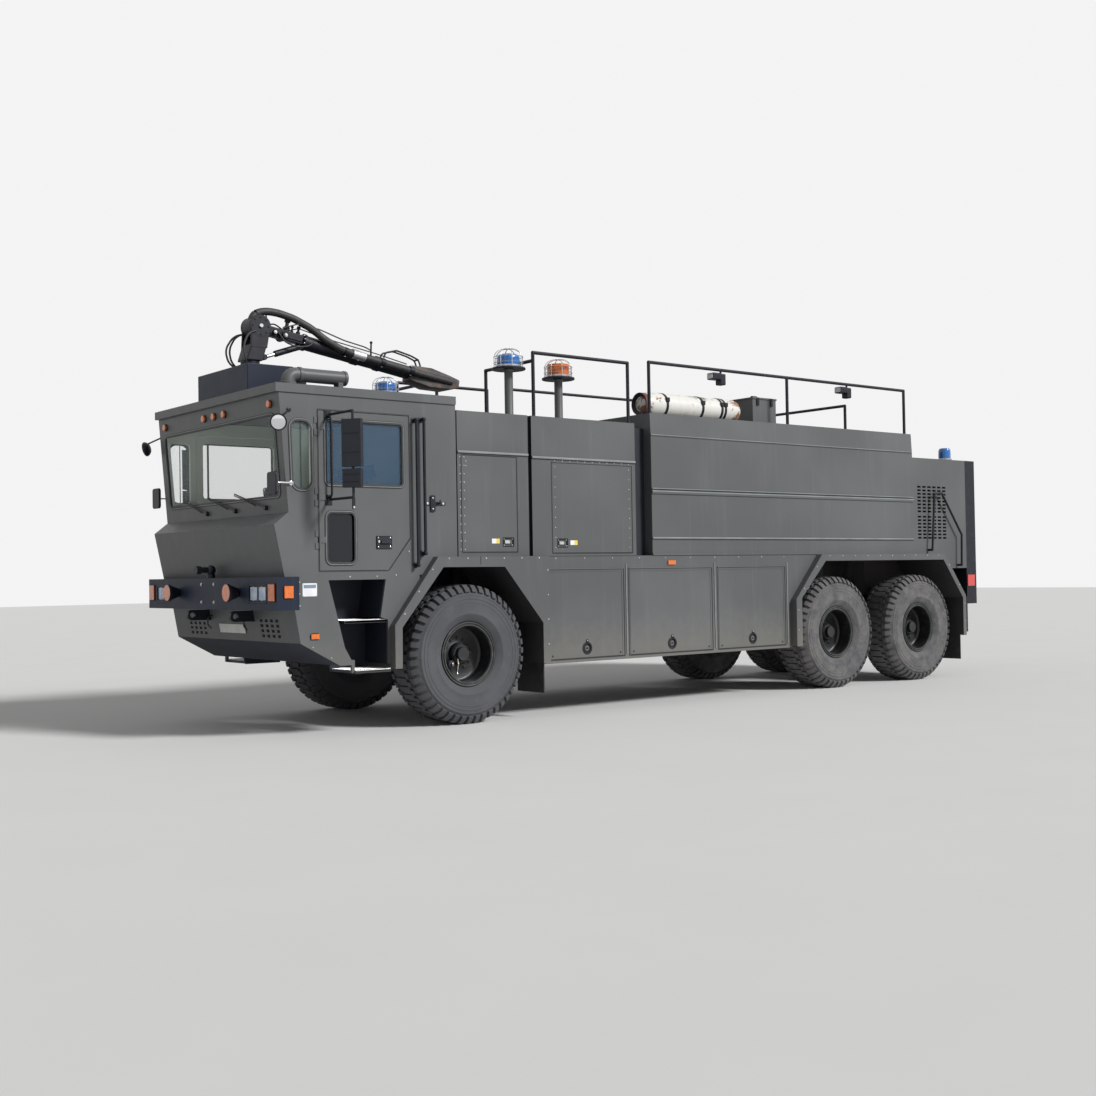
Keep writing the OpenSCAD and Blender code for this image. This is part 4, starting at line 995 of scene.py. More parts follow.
def makeHeadlamps():
    parts, trims = ([], [])
    z0, z1 = lampKit["z"]
    for y0 in lampKit["cells"]:
        y1 = y0 + lampKit["cell"]
        y0, y1 = (y0 + 0.0004, y1 - 0.0004)
        # Bowl behind the glass
        y = (y0 + y1) / 2
        middle = spot(0, y, (z0 + z1) / 2)
        bowl = turned("bowl", ((0, -0.0295), (0.02, -0.029), (0.045, -0.025), (0.062, -0.0185), (0.068, -0.015),
            (0.0705, -0.015), (0.0705, -0.0298), (0, -0.0298)), middle, ahead, 40)
        add(parts, "chrome", bowl)
        add(parts, "chrome", bar("bulb", middle - ahead * 0.029, middle - ahead * 0.02, 0.009, 16, 0.002))
        # Glass with upright ribs
        glass = block("glass", spot(0.0148, y0, z0), spot(lampKit["front"], y1, z1))
        editing(glass, "EDGE")
        choose(glass, lambda e: abs(e.verts[0].co.y - e.verts[1].co.y) > 0.1, "edges")
        cuts = lampKit["ribs"] * 2
        bpy.ops.mesh.subdivide(number_cuts=cuts)
        bpy.ops.mesh.select_mode(type="FACE")
        pitch = (y1 - y0) / (cuts + 1)
        choose(glass, lambda f: f.normal.x > 0.9 and int((f.calc_center_median().y - y0) / pitch) % 2 == 1)
        drawOut(ahead * 0.0015)
        done()
        add(parts, "lampGlass", glass)
        add(parts, "black", slab("bezel", frontOutline(0.0095, y0, y1, z0, z1), ahead * 0.0035, 0.012, 0.0008, 0.008))
        # Tabs that hold the glass, above and below
        for z in (z0 + 0.001, z1 - 0.011):
            add(trims, "steel", block("tab", spot(0.0065, y - 0.01, z), spot(0.0035, y + 0.01, z + 0.01), 0.001))
    doubled(parts, "headlamps", "lenses_clear")
    add(trims, "black", slab("turnRim", frontOutline(-0.001, *lampKit["turn"], 0.01), ahead * 0.007, 0.016, 0.0015,
        0.0095))
    add(trims, "black", panel("sideRim", lampKit["side"], 1.533, 0.007, 0.03, 0.0015, 0.0095, grow=0.01))
    y, z, radius = lampKit["fog"]
    lip = ((0.0003, 0.112), (0.0045, 0.112), (0.006, 0.118), (0.006, 0.136), (0.003, 0.1396), (-0.006, 0.1396),
        (-0.006, 0.1372), (0.0003, 0.1372))
    add(trims, "black", turned("fogRim", [(radius + more, along) for more, along in lip], spot(0, y, z), ahead, 56))
    add(trims, "black", panel("markerRim", (0.41, 0.5, 0.985, 1.035), 1.4375, 0.007, 0.028, 0.0015, 0.0085,
        grow=0.009))
    # Frame of the pair, proud of the bumper's face
    add(trims, "black", slab("pairRim", frontOutline(0.004, 0.932, 1.318, 1.347, 1.533), ahead * 0.006, 0.026, 0.002,
        0.018))
    bothSides(trims, "lampTrims")


def makeForehead():
    parts = []
    profile = ((0.0345, 0), (0.0405, 0), (0.0405, 0.01), (0.0385, 0.0135), (0.0345, 0.0135))
    z = lampKit["foreheadZ"]
    for y in lampKit["forehead"]:
        add(parts, "black", turned("markerFoot", profile, spot(screenFace(z + 0.034) + 0.0035, y, z), ahead, 32))
    whole(parts, "foreheadFeet")


makeHeadlamps()
makeForehead()
print("lamps made")


# Front: plate, sign, bolts, straps, wiper blades
frontKit = {"plate": (0.307, 1.022, 1.118), "lean": (0.06, 0.332), "strapY": 0.514,
    "sign": (0.325, 0.484, 1.405, 1.533), "bolts": ((-0.15, 1.35), (0.15, 1.35), (-0.15, 1.535), (0.15, 1.535)),
    "wipers": ((-0.354, -0.905), (0.32, -0.286), (1.001, 0.354)), "wiperZ": (2.285, 2.46)}


def panelFace(z):
    run, fall = frontKit["lean"]
    return 0.24 + (1.277 - z) * run / fall


def makeFront():
    parts = []
    half, low, high = frontKit["plate"]
    run, fall = frontKit["lean"]
    lean = Vector((fall, 0, -run)).normalized()
    base = [spot(panelFace(z), y, z) + lean * 0.003 for y, z in corners(-half, half, low, high)]
    add(parts, "black", slab("plateBack", [point - lean * 0.0035 for point in base], lean * 0.006, 0.01, 0.001))
    inner = shrunk([point + lean * 0.0024 for point in base], 0.975)
    add(parts, "plate", slab("plate", inner, lean * 0.002, 0.008, 0.0006))
    for y, z in frontKit["bolts"]:
        add(parts, "steel", bolt(spot(0, y, z), ahead, 0.012))
    for sign in (-1, 1):
        bends = ((0.262, 0.075, 1.205), (0.2, 0.082, 1.18), (0.19, 0.086, 1.105), (0.235, 0.092, 1.06))
        strap = [spot(s, sign * (frontKit["strapY"] - inward), z) for s, inward, z in bends]
        add(parts, "rubber", pipe("strap", strap, 0.008, 0.02))
    add(parts, "black", pipe("hangingRod", spots((0.735, 0.42, 0.735), (0.735, 0.42, 0.6), (0.735, 0.445, 0.56)),
        0.006, 0.015))
    whole(parts, "frontFittings")
    s0, s1, z0, z1 = frontKit["sign"]
    sign = []
    add(sign, "signWhite", panel("sign", (s0, s1, z0, z1), skin, 0.003, 0.008, 0.0006))
    add(sign, "signBand", panel("signBand", (s0 + 0.012, s1 - 0.012, z1 - 0.048, z1 - 0.014), skin + 0.0028, 0.0008))
    for s, z in corners(s0, s1, z0, z1, -0.01):
        add(sign, "steel", rivet(spot(s, skin + 0.003, z), out, 0.004))
    whole(sign, "blankSign")


def makeWiperBlades():
    parts = []
    z0, z1 = frontKit["wiperZ"]
    for root, tip in frontKit["wipers"]:
        start, end = (spot(screenFace(z0) - 0.013, root, z0), spot(screenFace(z1) - 0.013, tip, z1))
        way = (end - start).normalized()
        down = up * -0.022
        add(parts, "black", pipe("bladeSpine", [end - way * 0.43 + down, end - way * 0.2 + down * 0.75,
            end + way * 0.03 + down], 0.0045, 0.03))
        edge = end + down * 1.15 - ahead * 0.006
        add(parts, "rubber", bar("blade", edge - way * 0.44, edge + way * 0.04, 0.0045, 6))
        add(parts, "black", turned("wiperCap", ((0, 0.034), (0.014, 0.033), (0.02, 0.028), (0.0225, 0.02),
            (0.0225, 0.001), (0, 0.001)), spot(screenFace(z0) + 0.002, root, z0), ahead, 24))
    whole(parts, "wiperBlades")


makeFront()
makeWiperBlades()
print("front fittings made")


# Monitor: the boom is measured as (distance from the pin, y, height over the pin's line)
monitor = {"pin": (0.49, 0.19, 4.24), "yaw": 0.42, "drop": radians(9.5), "deckTop": 3.7603, "reach": 0.943,
    "cheeks": ((-0.12, -0.095), (0.095, 0.12)), "cheek": 0.117,
    "sections": ((0.582, 0), (0.582, 0.088), (0.586, 0.092), (0.618, 0.092), (0.622, 0.088), (0.622, 0.08),
        (1.242, 0.078), (1.242, 0.083), (1.245, 0.086), (1.324, 0.086), (1.327, 0.083), (1.327, 0.076),
        (1.562, 0.074), (1.562, 0.081), (1.565, 0.084), (1.619, 0.084), (1.622, 0.081), (1.622, 0.076),
        (2.06, 0.076), (2.06, 0)), "barrelDrop": 0.015,
    "pipe": ((-0.072, 0.018, 0.04), (-0.066, 0.018, 0.112), (-0.008, 0.018, 0.16), (0.095, 0.02, 0.198),
        (0.23, 0.026, 0.212), (0.42, 0.042, 0.198), (0.631, 0.074, 0.141), (0.82, 0.104, 0.052),
        (1.017, 0.121, -0.004), (1.266, 0.124, -0.02), (2.3, 0.124, -0.02), (2.6, 0.11, -0.012)),
    "clamps": ((1.09, 0.04, "black"), (1.266, 0.17, "wire"), (1.592, 0.06, "black"), (2.0, 0.06, "black")),
    "frame": ((1.647, 0.03), (1.677, 0.129), (1.82, 0.188), (2.024, 0.177), (2.139, 0.156), (2.185, 0.084),
        (2.185, 0.03)),
    "bill": ((2.022, -0.115), (2.3, -0.14), (2.59, -0.105), (2.715, -0.056), (2.715, 0.038), (2.56, 0.06),
        (2.292, 0.085), (2.022, 0.062)), "billHalf": (0.084, 0.126),
    "spindle": ((0, 0), (1, 0), (1, 0.42), (0.55, 0.5), (0.55, 0.78), (0.9, 0.8), (0.9, 0.94), (0.7, 1), (0, 1)),
    "hoses": ((((0.3, 0.05, 0.06), (0.48, 0.075, 0.15), (0.76, 0.055, 0.16), (1.1, 0.04, 0.125), (1.4, 0.04, 0.12),
        (1.47, 0.04, 0.1)), 0.0075),
        (((0.34, -0.06, 0.04), (0.56, -0.07, 0.14), (0.9, -0.04, 0.11), (1.6, -0.02, 0.1), (2.02, -0.02, 0.085)),
        0.0065), (((0.24, 0.07, 0), (0.33, 0.095, -0.09), (0.48, 0.095, -0.11), (0.64, 0.088, -0.06),
        (0.7, 0.07, 0.01)), 0.009),
        (((0.15, -0.06, 0.07), (0.26, -0.085, 0.12), (0.42, -0.08, 0.06), (0.56, -0.072, -0.01)), 0.008)),
    "rams": ((((0.15, 0, -0.29), (0.33, 0, -0.196)), 0.02, "wire"), (((0.27, 0, -0.226), (0.56, 0, -0.075)), 0.034,
        "black"))}


def onBoom(d, y, h):
    s, y0, z = monitor["pin"]
    d = d * monitor["reach"]
    fall = monitor["drop"]
    return Vector((at(s) - d * cos(fall) - h * sin(fall), y0 + y, z + h * cos(fall) - d * sin(fall)))


boomWay = Vector((-cos(monitor["drop"]), 0, -sin(monitor["drop"])))
boomUp = Vector((-sin(monitor["drop"]), 0, cos(monitor["drop"])))


def boomBlock(name, d0, d1, y0, y1, h0, h1, edge):
    return slab(name, [onBoom(d, y0, h) for d, h in corners(d0, d1, h0, h1)], (0, y1 - y0, 0), 0, edge)


def makeBoom():
    parts = []
    lever = monitor["cheeks"][1][0] - 0.0005
    add(parts, "black", turned("hub", echoed((0, -lever), (0.108, -lever), (0.1165, -lever + 0.008)),
        onBoom(0, 0, 0), out, 56))
    # Link to the barrel, with its ribs and flange
    add(parts, "black", boomBlock("link", 0.06, 0.6, -0.04, 0.05, -0.055, 0.05, 0.01))
    for y in (-0.052, 0.05):
        add(parts, "black", boomBlock("linkRib", 0.11, 0.56, y, y + 0.012, -0.03, 0.03, 0.004))
    profile = [(radius, d * monitor["reach"]) for d, radius in monitor["sections"]]
    add(parts, "black", turned("barrel", profile, onBoom(0, 0, -monitor["barrelDrop"]), boomWay, 56))
    flange = onBoom(0.602, 0, -monitor["barrelDrop"])
    add(parts, "steel", ringOf(bolt(flange - boomWay * 0.019 + boomUp * 0.078, -boomWay, 0.009), 10, flange, boomWay))
    # Valve bodies on the link with their spindles and hand levers
    for d, h, radius, half in ((0.33, -0.015, 0.054, 0.096), (0.205, -0.01, 0.038, 0.078)):
        add(parts, "black", turned("valve", echoed((0, -half), (radius * 0.62, -half), (radius * 0.7, -half + 0.008),
            (radius * 0.74, -half + 0.026), (radius, -half + 0.034)), onBoom(d, 0.004, h), out, 32))
        add(parts, "steel", bolt(onBoom(d, 0.004 + half, h), out, 0.012))
    for d, height, radius in ((0.37, 0.15, 0.036), (0.52, 0.11, 0.024), (0.44, 0.095, 0.018)):
        foot = onBoom(d, 0.006, 0.03)
        add(parts, "black", turned("spindle", [(radius * r, height * h) for r, h in monitor["spindle"]], foot,
            boomUp, 24))
    # Water hose over the hub and along the barrel, with clamps
    route = [onBoom(*point) for point in monitor["pipe"]]
    add(parts, "rubber", pipe("waterHose", route, 0.041, 0.045, 5))
    for d, length, finish in monitor["clamps"]:
        length *= monitor["reach"]
        middle = onBoom(d, 0.123, -0.017)
        half = length / 2
        add(parts, finish, turned("clamp", echoed((0.04, -half), (0.048, -half), (0.05, -half + 0.003)), middle,
            boomWay, 32))
        add(parts, "black", bar("clampArm", onBoom(d, 0, -0.015), onBoom(d, 0.1, -0.017), 0.018, 16))
        for lift in (-1, 1):
            add(parts, "steel", bolt(middle + boomUp * lift * 0.0495, boomUp * lift, 0.008))
    # Frame over the barrel, and a lever beside it
    for y in (-0.046, 0.034):
        add(parts, "black", pipe("barrelFrame", [onBoom(d, y, h) for d, h in monitor["frame"]], 0.01, 0.022))
    for d, h in (monitor["frame"][2], monitor["frame"][4]):
        add(parts, "black", bar("frameTie", onBoom(d, -0.046, h), onBoom(d, 0.034, h), 0.01, 12))
    add(parts, "black", bar("leverArm", onBoom(1.482, 0.04, 0.02), onBoom(1.459, 0.04, 0.19), 0.01, 12, 0.003))
    add(parts, "black", turned("leverKnob", echoed((0, -0.016), (0.01, -0.014), (0.016, -0.006)),
        onBoom(1.459, 0.04, 0.19), boomUp, 20))
    # Thin hoses from the link to the lever and to the nozzle
    for points, radius in monitor["hoses"]:
        add(parts, "rubber", pipe("hose", [onBoom(*p) for p in points], radius, 0.035))
    # Elevating cylinder along the boom's underside
    for points, radius, finish in monitor["rams"]:
        start, end = (onBoom(*p) for p in points)
        add(parts, finish, bar("ram", start, end, radius, 28, 0.004))
    eye = onBoom(*monitor["rams"][0][0][0])
    add(parts, "black", turned("ramEye", echoed((0, -0.028), (0.026, -0.028), (0.03, -0.024)), eye, out, 28))
    parts.append(makeBill())
    whole(parts, "monitorBoom", "monitor_boom", body="monitor_boom")


def makeBill():
    half = monitor["billHalf"]
    bill = slab("bill", [onBoom(d, -half[1], h) for d, h in monitor["bill"]], (0, half[1] * 2, 0))
    # Narrow root: the sides are brought in there, then the edges rounded
    root = onBoom(monitor["bill"][0][0], 0, 0)
    editing(bill, "VERT")
    choose(bill, lambda v: abs((v.co - root).dot(boomWay)) < 0.02, "verts")
    bpy.ops.transform.resize(value=(1, half[0] / half[1], 1), center_override=root)
    done()
    bevelSharp(bill, 0.016, 3, 25)
    editing(bill)
    choose(bill, lambda f: f.normal.dot(boomWay) > 0.9)
    bpy.ops.mesh.inset(thickness=0.01, use_even_offset=True)
    drawOut(boomWay * -0.12)
    done()
    return dress(smooth(bill, 40), "bill")


def makeRiser():
    parts = []
    s, y0, z = monitor["pin"]
    z0 = monitor["deckTop"]
    foot = Vector((at(monitor["yaw"]), y0, z0))
    add(parts, "black", turned("turntable", ((0, 0), (0.147, 0), (0.15, 0.003), (0.15, 0.026), (0.146, 0.03),
        (0.104, 0.03), (0.1, 0.036), (0.1, 0.12), (0.094, 0.128), (0, 0.128)), foot, up, 56))
    add(parts, "steel", ringOf(bolt(foot + Vector((0.126, 0, 0.029)), up, 0.01), 12, foot, up))
    neck = [(0.095, 0.11), (-0.092, 0.11), (-0.145, 0.29), (0.035, 0.29)]
    add(parts, "black", slab("neck", [foot + Vector((dx, -0.1165, dz)) for dx, dz in neck], (0, 0.233, 0), 0, 0.012))
    pin = spot(s, y0, z)
    lean = pin.x - foot.x
    for low, high in monitor["cheeks"]:
        arm = [(0.046, 0.25), (lean + 0.103, z - z0), (lean - 0.111, z - z0), (-0.142, 0.25)]
        add(parts, "black", slab("arm", [foot + Vector((dx, low + 0.0015, dz)) for dx, dz in arm],
            (0, high - low - 0.003, 0), 0, 0.004))
        radius = monitor["cheek"]
        add(parts, "black", turned("cheek", ((0, low), (radius - 0.004, low), (radius, low + 0.004),
            (radius, high - 0.004), (radius - 0.004, high), (0, high)), pin, out, 64))
        face = high if high > 0 else low
        facing = out if high > 0 else -out
        add(parts, "black", ringOf(bolt(pin + Vector((0.09, face, 0)), facing, 0.009), 8, pin, out))
        add(parts, "chrome", turned("pinCap", ((0, 0.02), (0.019, 0.02), (0.022, 0.016), (0.022, 0), (0, 0)),
            pin + out * face, facing, 28))
    # Pointer beside the cheek, and hose loops from the turntable to the arms
    high = pin + Vector((-0.068, 0.1075, 0))
    add(parts, "black", bar("pointer", high + up * 0.08, high + up * 0.115, 0.009, 14, 0.003))
    for y, swing in ((-0.15, 0.17), (-0.165, 0.205), (0.15, 0.15)):
        sign = 1 if y > 0 else -1
        route = around(foot, (0.06, y * 0.6, 0.02), (swing * 0.8, y, 0.09), (swing, y, 0.24),
            (swing * 0.55, y * 0.9, 0.39), (-0.01, sign * 0.124, 0.42))
        add(parts, "rubber", pipe("riserHose", route, 0.0105, 0.06))
    whole(parts, "monitorRiser", "monitor_riser", body="monitor_riser")


# Housing of the monitor, with the plate on it and the pipe beside it
housing = {"s": (0.1, 0.62, 0.8), "y": (-0.4, 0.77), "roof": 3.479, "top": 3.76,
    "pipe": (0.335, 0.992, 1.17, 0.135, 0.071)}


def makeHousing():
    parts = []
    y0, y1 = housing["y"]
    s0, s1, s2 = housing["s"]
    roof, top = (housing["roof"], housing["top"])
    add(parts, "slate", block("box", spot(s1, y0, roof), spot(s0, y1, top), 0.008))
    add(parts, "slate", block("rearBox", spot(s2, y0 + 0.06, roof), spot(s1 - 0.002, y1 - 0.06, top - 0.031), 0.008))
    add(parts, "slate", block("cover", spot(s2 + 0.09, y0 + 0.06, top - 0.03),
        spot(s1 - 0.02, y1 - 0.06, top - 0.002), 0.006))
    # Flange along the foot with its screws
    for y, facing in ((y1, 1), (y0, -1)):
        low, high = sorted((y, y + facing * 0.016))
        add(parts, "slate", block("flange", spot(s1, low, roof), spot(s0, high, roof + 0.006), 0.002))
        add(parts, "rivet", row(rivet(spot(s1 - 0.03, y + facing * 0.009, roof + 0.006), up, 0.005), (0.0925, 0, 0),
            6))
    a, b, y, lift, radius = housing["pipe"]
    z = roof + lift
    route = spots((a, y, roof + 0.004), (a, y, z), (b, y, z))
    add(parts, "cabPaint", pipe("roofPipe", route, radius, 0.08, 7))
    for middle, axis, half, grow in ((spot(a, y, roof + 0.03), up, 0.028, 0.015),
            (spot(b - 0.018, y, z), ahead, 0.018, 0.006), (spot(a + 0.13, y, z), ahead, 0.02, 0.008)):
        outer = radius + grow
        add(parts, "cabPaint",
            turned("collar", echoed((radius - 0.004, -half), (outer - 0.004, -half), (outer, -half + 0.004)), middle,
            axis, 40))
    add(parts, "cabPaint", block("pipeFoot", spot(b - 0.05, y - 0.05, roof), spot(b - 0.11, y + 0.05, z - 0.04),
        0.006))
    whole(parts, "monitorHousing", "monitor_housing")


makeBoom()
makeRiser()
makeHousing()
print("monitor made")


# Beacons and work lamps on their posts
beacons = {"stands": ((3.0, 1.28, 3.34, 3.85), (3.0, -1.28, 3.34, 3.85), (3.83, 1.13, 3.34, 3.82)), "post": 0.048,
    "flange": 0.19, "dome": 0.13, "tall": 0.15, "cage": 0.163}
work = {"s": (6.22, 8.65), "y": 1.4, "rail": 4.09}


def makeBeacons():
    posts, cages = ([], [])
    for s, y, low, high in beacons["stands"]:
        foot = spot(s, y, low)
        tall = high - low
        post, flange = (beacons["post"], beacons["flange"])
        add(posts, "cabPaint",
            turned("post", ((0, 0), (0.085, 0), (0.085, 0.008), (post + 0.004, 0.012), (post, 0.02),
            (post, tall - 0.02), (post + 0.006, tall - 0.012), (post + 0.01, tall), (0, tall)), foot, up, 40))
        add(posts, "black", turned("flange", ((0, 0), (flange - 0.004, 0), (flange, 0.004), (flange, 0.018),
            (flange - 0.004, 0.0225), (0.142, 0.0245), (0.14, 0.025), (0, 0.025)), foot + up * tall, up, 56))
        base = foot + up * (tall + 0.025)
        dome = beacons["dome"]
        add(cages, "wire", turned("clampRing", ((dome, 0), (dome + 0.01, 0), (dome + 0.012, 0.004),
            (dome + 0.012, 0.02), (dome + 0.008, 0.025), (dome, 0.025)), base, up, 48))
        top = base + up * 0.208
        reach = beacons["cage"]
        for step in range(4):
            angle = step * pi / 4 + pi / 8
            way = Vector((cos(angle), sin(angle), 0))
            route = [base + way * reach, base + way * reach + up * 0.15, top + way * 0.085, top - way * 0.085,
                base - way * reach + up * 0.15, base - way * reach]
            add(cages, "wire", pipe("cageHoop", route, 0.0045, 0.045, 2))
        for lift in (0.05, 0.118):
            add(cages, "wire", turned("cageRing", ((reach - 0.004, 0), (reach, -0.004), (reach + 0.004, 0),
                (reach, 0.004)), base + up * lift, up, 40))
    whole(cages, "beaconCages")
    return posts


def domeOf(foot, radius, tall):
    curve = ((0, 0), (1, 0), (1, 0.55), (0.985, 0.76), (0.93, 0.88), (0.8, 0.965), (0.55, 0.995), (0, 1))
    return turned("dome", [(radius * r, tall * h) for r, h in curve], foot, up, 56)


def makeBlueLenses():
    parts = []
    for s, y, _, high in beacons["stands"][:2]:
        add(parts, "blue", domeOf(spot(s, y, high + 0.025), beacons["dome"] - 0.0005, beacons["tall"]))
    for sign in (1, -1):
        foot = spot(10.93, sign * (skin - 0.108), 3.15)
        add(parts, "blue", domeOf(foot, 0.088, 0.18))
        add(parts, "wire", turned("foot", ((0.088, 0), (0.098, 0), (0.1, 0.004), (0.1, 0.02), (0.094, 0.026),
            (0.088, 0.026)), foot, up, 40))
    whole(parts, "blueLenses", "lenses_blue")


def makeLampHousings():
    parts = makeBeacons()
    for sign in (1, -1):
        y0, y1 = sorted((sign * 0.9305, sign * 1.3195))
        pairFrame = slab("pairFrame", frontOutline(0.0595, y0, y1, 1.3455, 1.5345), ahead * 0.055, 0, 0.002)
        # Open towards the front, for the lamps
        editing(pairFrame)
        choose(pairFrame, lambda f: f.normal.x > 0.9)
        bpy.ops.mesh.delete(type="FACE")
        done()
        add(parts, "black", pairFrame)
        y, z = (sign * 0.72, 1.45)
        add(parts, "black", turned("fogBowl", ((0, 0.0005), (0.04, 0.0005), (0.052, 0.02), (0.062, 0.05),
            (0.078, 0.09), (0.085, 0.105), (0.085, 0.1275), (0, 0.1275)), spot(0, y, z), ahead, 48))
    for s in work["s"]:
        y, rail = (work["y"], work["rail"])
        place = spot(s, y, 0)
        add(parts, "black", bar("lampPost", place + up * 4.03, place + up * (rail - 0.012), 0.014, 16))
        add(parts, "black", block("lampBody", *around(place, (-0.045, -0.05, 3.9), (0.045, 0.05, 4.04)), 0.012))
        add(parts, "black", block("lampHead", *around(place, (0.044, -0.06, 3.96), (0.185, 0.06, 4.045)), 0.014))
        add(parts, "clearPlain", slab("lampFace", frontOutline(s - 0.1855, y - 0.048, y + 0.048, 3.972, 4.033),
            ahead * 0.002, 0.008))
    whole(parts, "lampHousings", "lamp_housings")


makeBlueLenses()
makeLampHousings()
print("beacons made")


# Hardware of the body, given for the left side and mirrored to the right
bodyKit = {"hinge": (1.86, 0.0895, 12), "doorTwo": (3.505, 4.615, 1.88, 0.113, 9),
    "topRow": (3.505, 2.852, 0.111, 11), "latches": ((2.843, 1.941), (3.605, 1.931)),
    "labels": ((2.672, 1.951), (3.769, 1.935)), "lowerLatches": (3.94, 5.2725, 6.6725), "lowerZ": 0.736,
    "lowerEdges": ((3.376, 4.504), (4.591, 5.954), (6.061, 7.284)), "grabs": ((1.635, 1.7, 3.2), (1.725, 1.82, 3.21)),
    "lines": ((((1.352, 1.09), (1.876, 1.764), (3.31, 1.764), (3.31, 0.68)), 0.235, flareFace, 0.009),
        (((7.44, 0.68), (7.44, 1.2), (7.945, 1.764), (10.585, 1.764), (11.06, 1.19), (11.06, 0.68)), 0.26, flareFace,
        0.009), (((0.7, 1.59), (1.33, 1.59)), 0.3, skin, 0.0085), (((1.318, 1.48), (1.64, 1.96)), 0.26, skin,
        0.0085), (((0.33, 0.96), (0.74, 0.735)), 0.2, skin, 0.0075))}


def rivetRow(start, step, count, radius=0.0065):
    return dress(row(rivet(start, out, radius), Vector(step), count), "rivet")


def alongLine(points, pitch, y, radius):
    # Rivets at even steps along a broken line of (s, z)
    parts = []
    for (s0, z0), (s1, z1) in zip(points, points[1:]):
        length = hypot(s1 - s0, z1 - z0)
        count = max(2, int(length / pitch))
        step = Vector((-(s1 - s0), 0, z1 - z0)) / count
        parts.append(rivetRow(spot(s0, y, z0) + step / 2, step, count, radius))
    return parts


def makeUpperDoors():
    z0, pitch, count = bodyKit["hinge"]
    first = [rivetRow(spot(2.266, skin, z0), up * pitch, count, 0.0075),
        rivetRow(spot(2.292, skin, 2.752), up * 0.05, 2)]
    s0, s1, z1, step, rows = bodyKit["doorTwo"]
    second = [rivetRow(spot(s, skin, z1), up * step, rows) for s in (s0, s1)]
    for index, parts in enumerate((first, second)):
        s, z = bodyKit["latches"][index]
        add(parts, "black", panel("latchRim", (s - 0.076, s + 0.076, z - 0.051, z + 0.051), skin, 0.004, 0.01, 0.001,
            0.011))
        add(parts, "steel", panel("tongue", (s - 0.044, s + 0.02, z - 0.016, z + 0.016), skin - 0.0025, 0.003, 0.008,
            0.001))
        for ds, dz in corners(-0.06, 0.06, -0.036, 0.036):
            add(parts, "steel", bolt(spot(s + ds, skin - 0.008, z + dz), out, 0.007))
        s, z = bodyKit["labels"][index]
        for a, b, finish in ((-0.052, 0.006, "signWhite"), (0.006, 0.052, "yellow")):
            add(parts, finish, panel("label", (s + a, s + b, z - 0.026, z + 0.026), skin, 0.0012))
        bothSides(parts, f"upperDoor{index + 1}Fittings", f"upper_door_{{}}_{index + 1}")


def makeLowerDoors():
    z = bodyKit["lowerZ"]
    for index, (s, (s0, s1)) in enumerate(zip(bodyKit["lowerLatches"], bodyKit["lowerEdges"])):
        parts = []
        place = spot(s, skin, z)
        ring = ((0.046, -0.01), (0.072, -0.001), (0.072, 0.003), (0.068, 0.006), (0.0515, 0.006), (0.047, 0))
        add(parts, "black", turned("latchRing", ring, place, out, 40))
        cup = ((0, -0.0095), (0.048, -0.0095), (0.048, -0.007), (0, -0.0075))
        add(parts, "black", turned("latchCup", cup, place, out, 32))
        add(parts, "black", panel("latchEar", (s - 0.018, s + 0.018, z + 0.06, z + 0.1), skin, 0.006, 0.01, 0.0015))
        add(parts, "steel", rivet(spot(s, skin + 0.006, z + 0.086), out, 0.0075))
        add(parts, "black", bar("latchBolt", place - out * 0.003, place + out * 0.001, 0.013, 20, 0.0015))
        add(parts, "black", block("latchSlot", *around(place, (-0.022, -0.003, -0.005), (0.022, -0.0005, 0.005)),
            0.001))
        # Folded edge of the door and a pair of buffers at its foot
        add(parts, "cabPaint", panel("edgeFold", (s0 + 0.012, s1 - 0.012, 0.637, 1.62), skin, 0.0035, 0.01, 0.001,
            0.014))
        for ds in (s0 + 0.06, s1 - 0.06):
            add(parts, "rubber", rivet(spot(ds, skin, 0.668), out, 0.012))
        bothSides(parts, f"lowerDoor{index + 1}Fittings", f"lower_door_{{}}_{index + 1}")


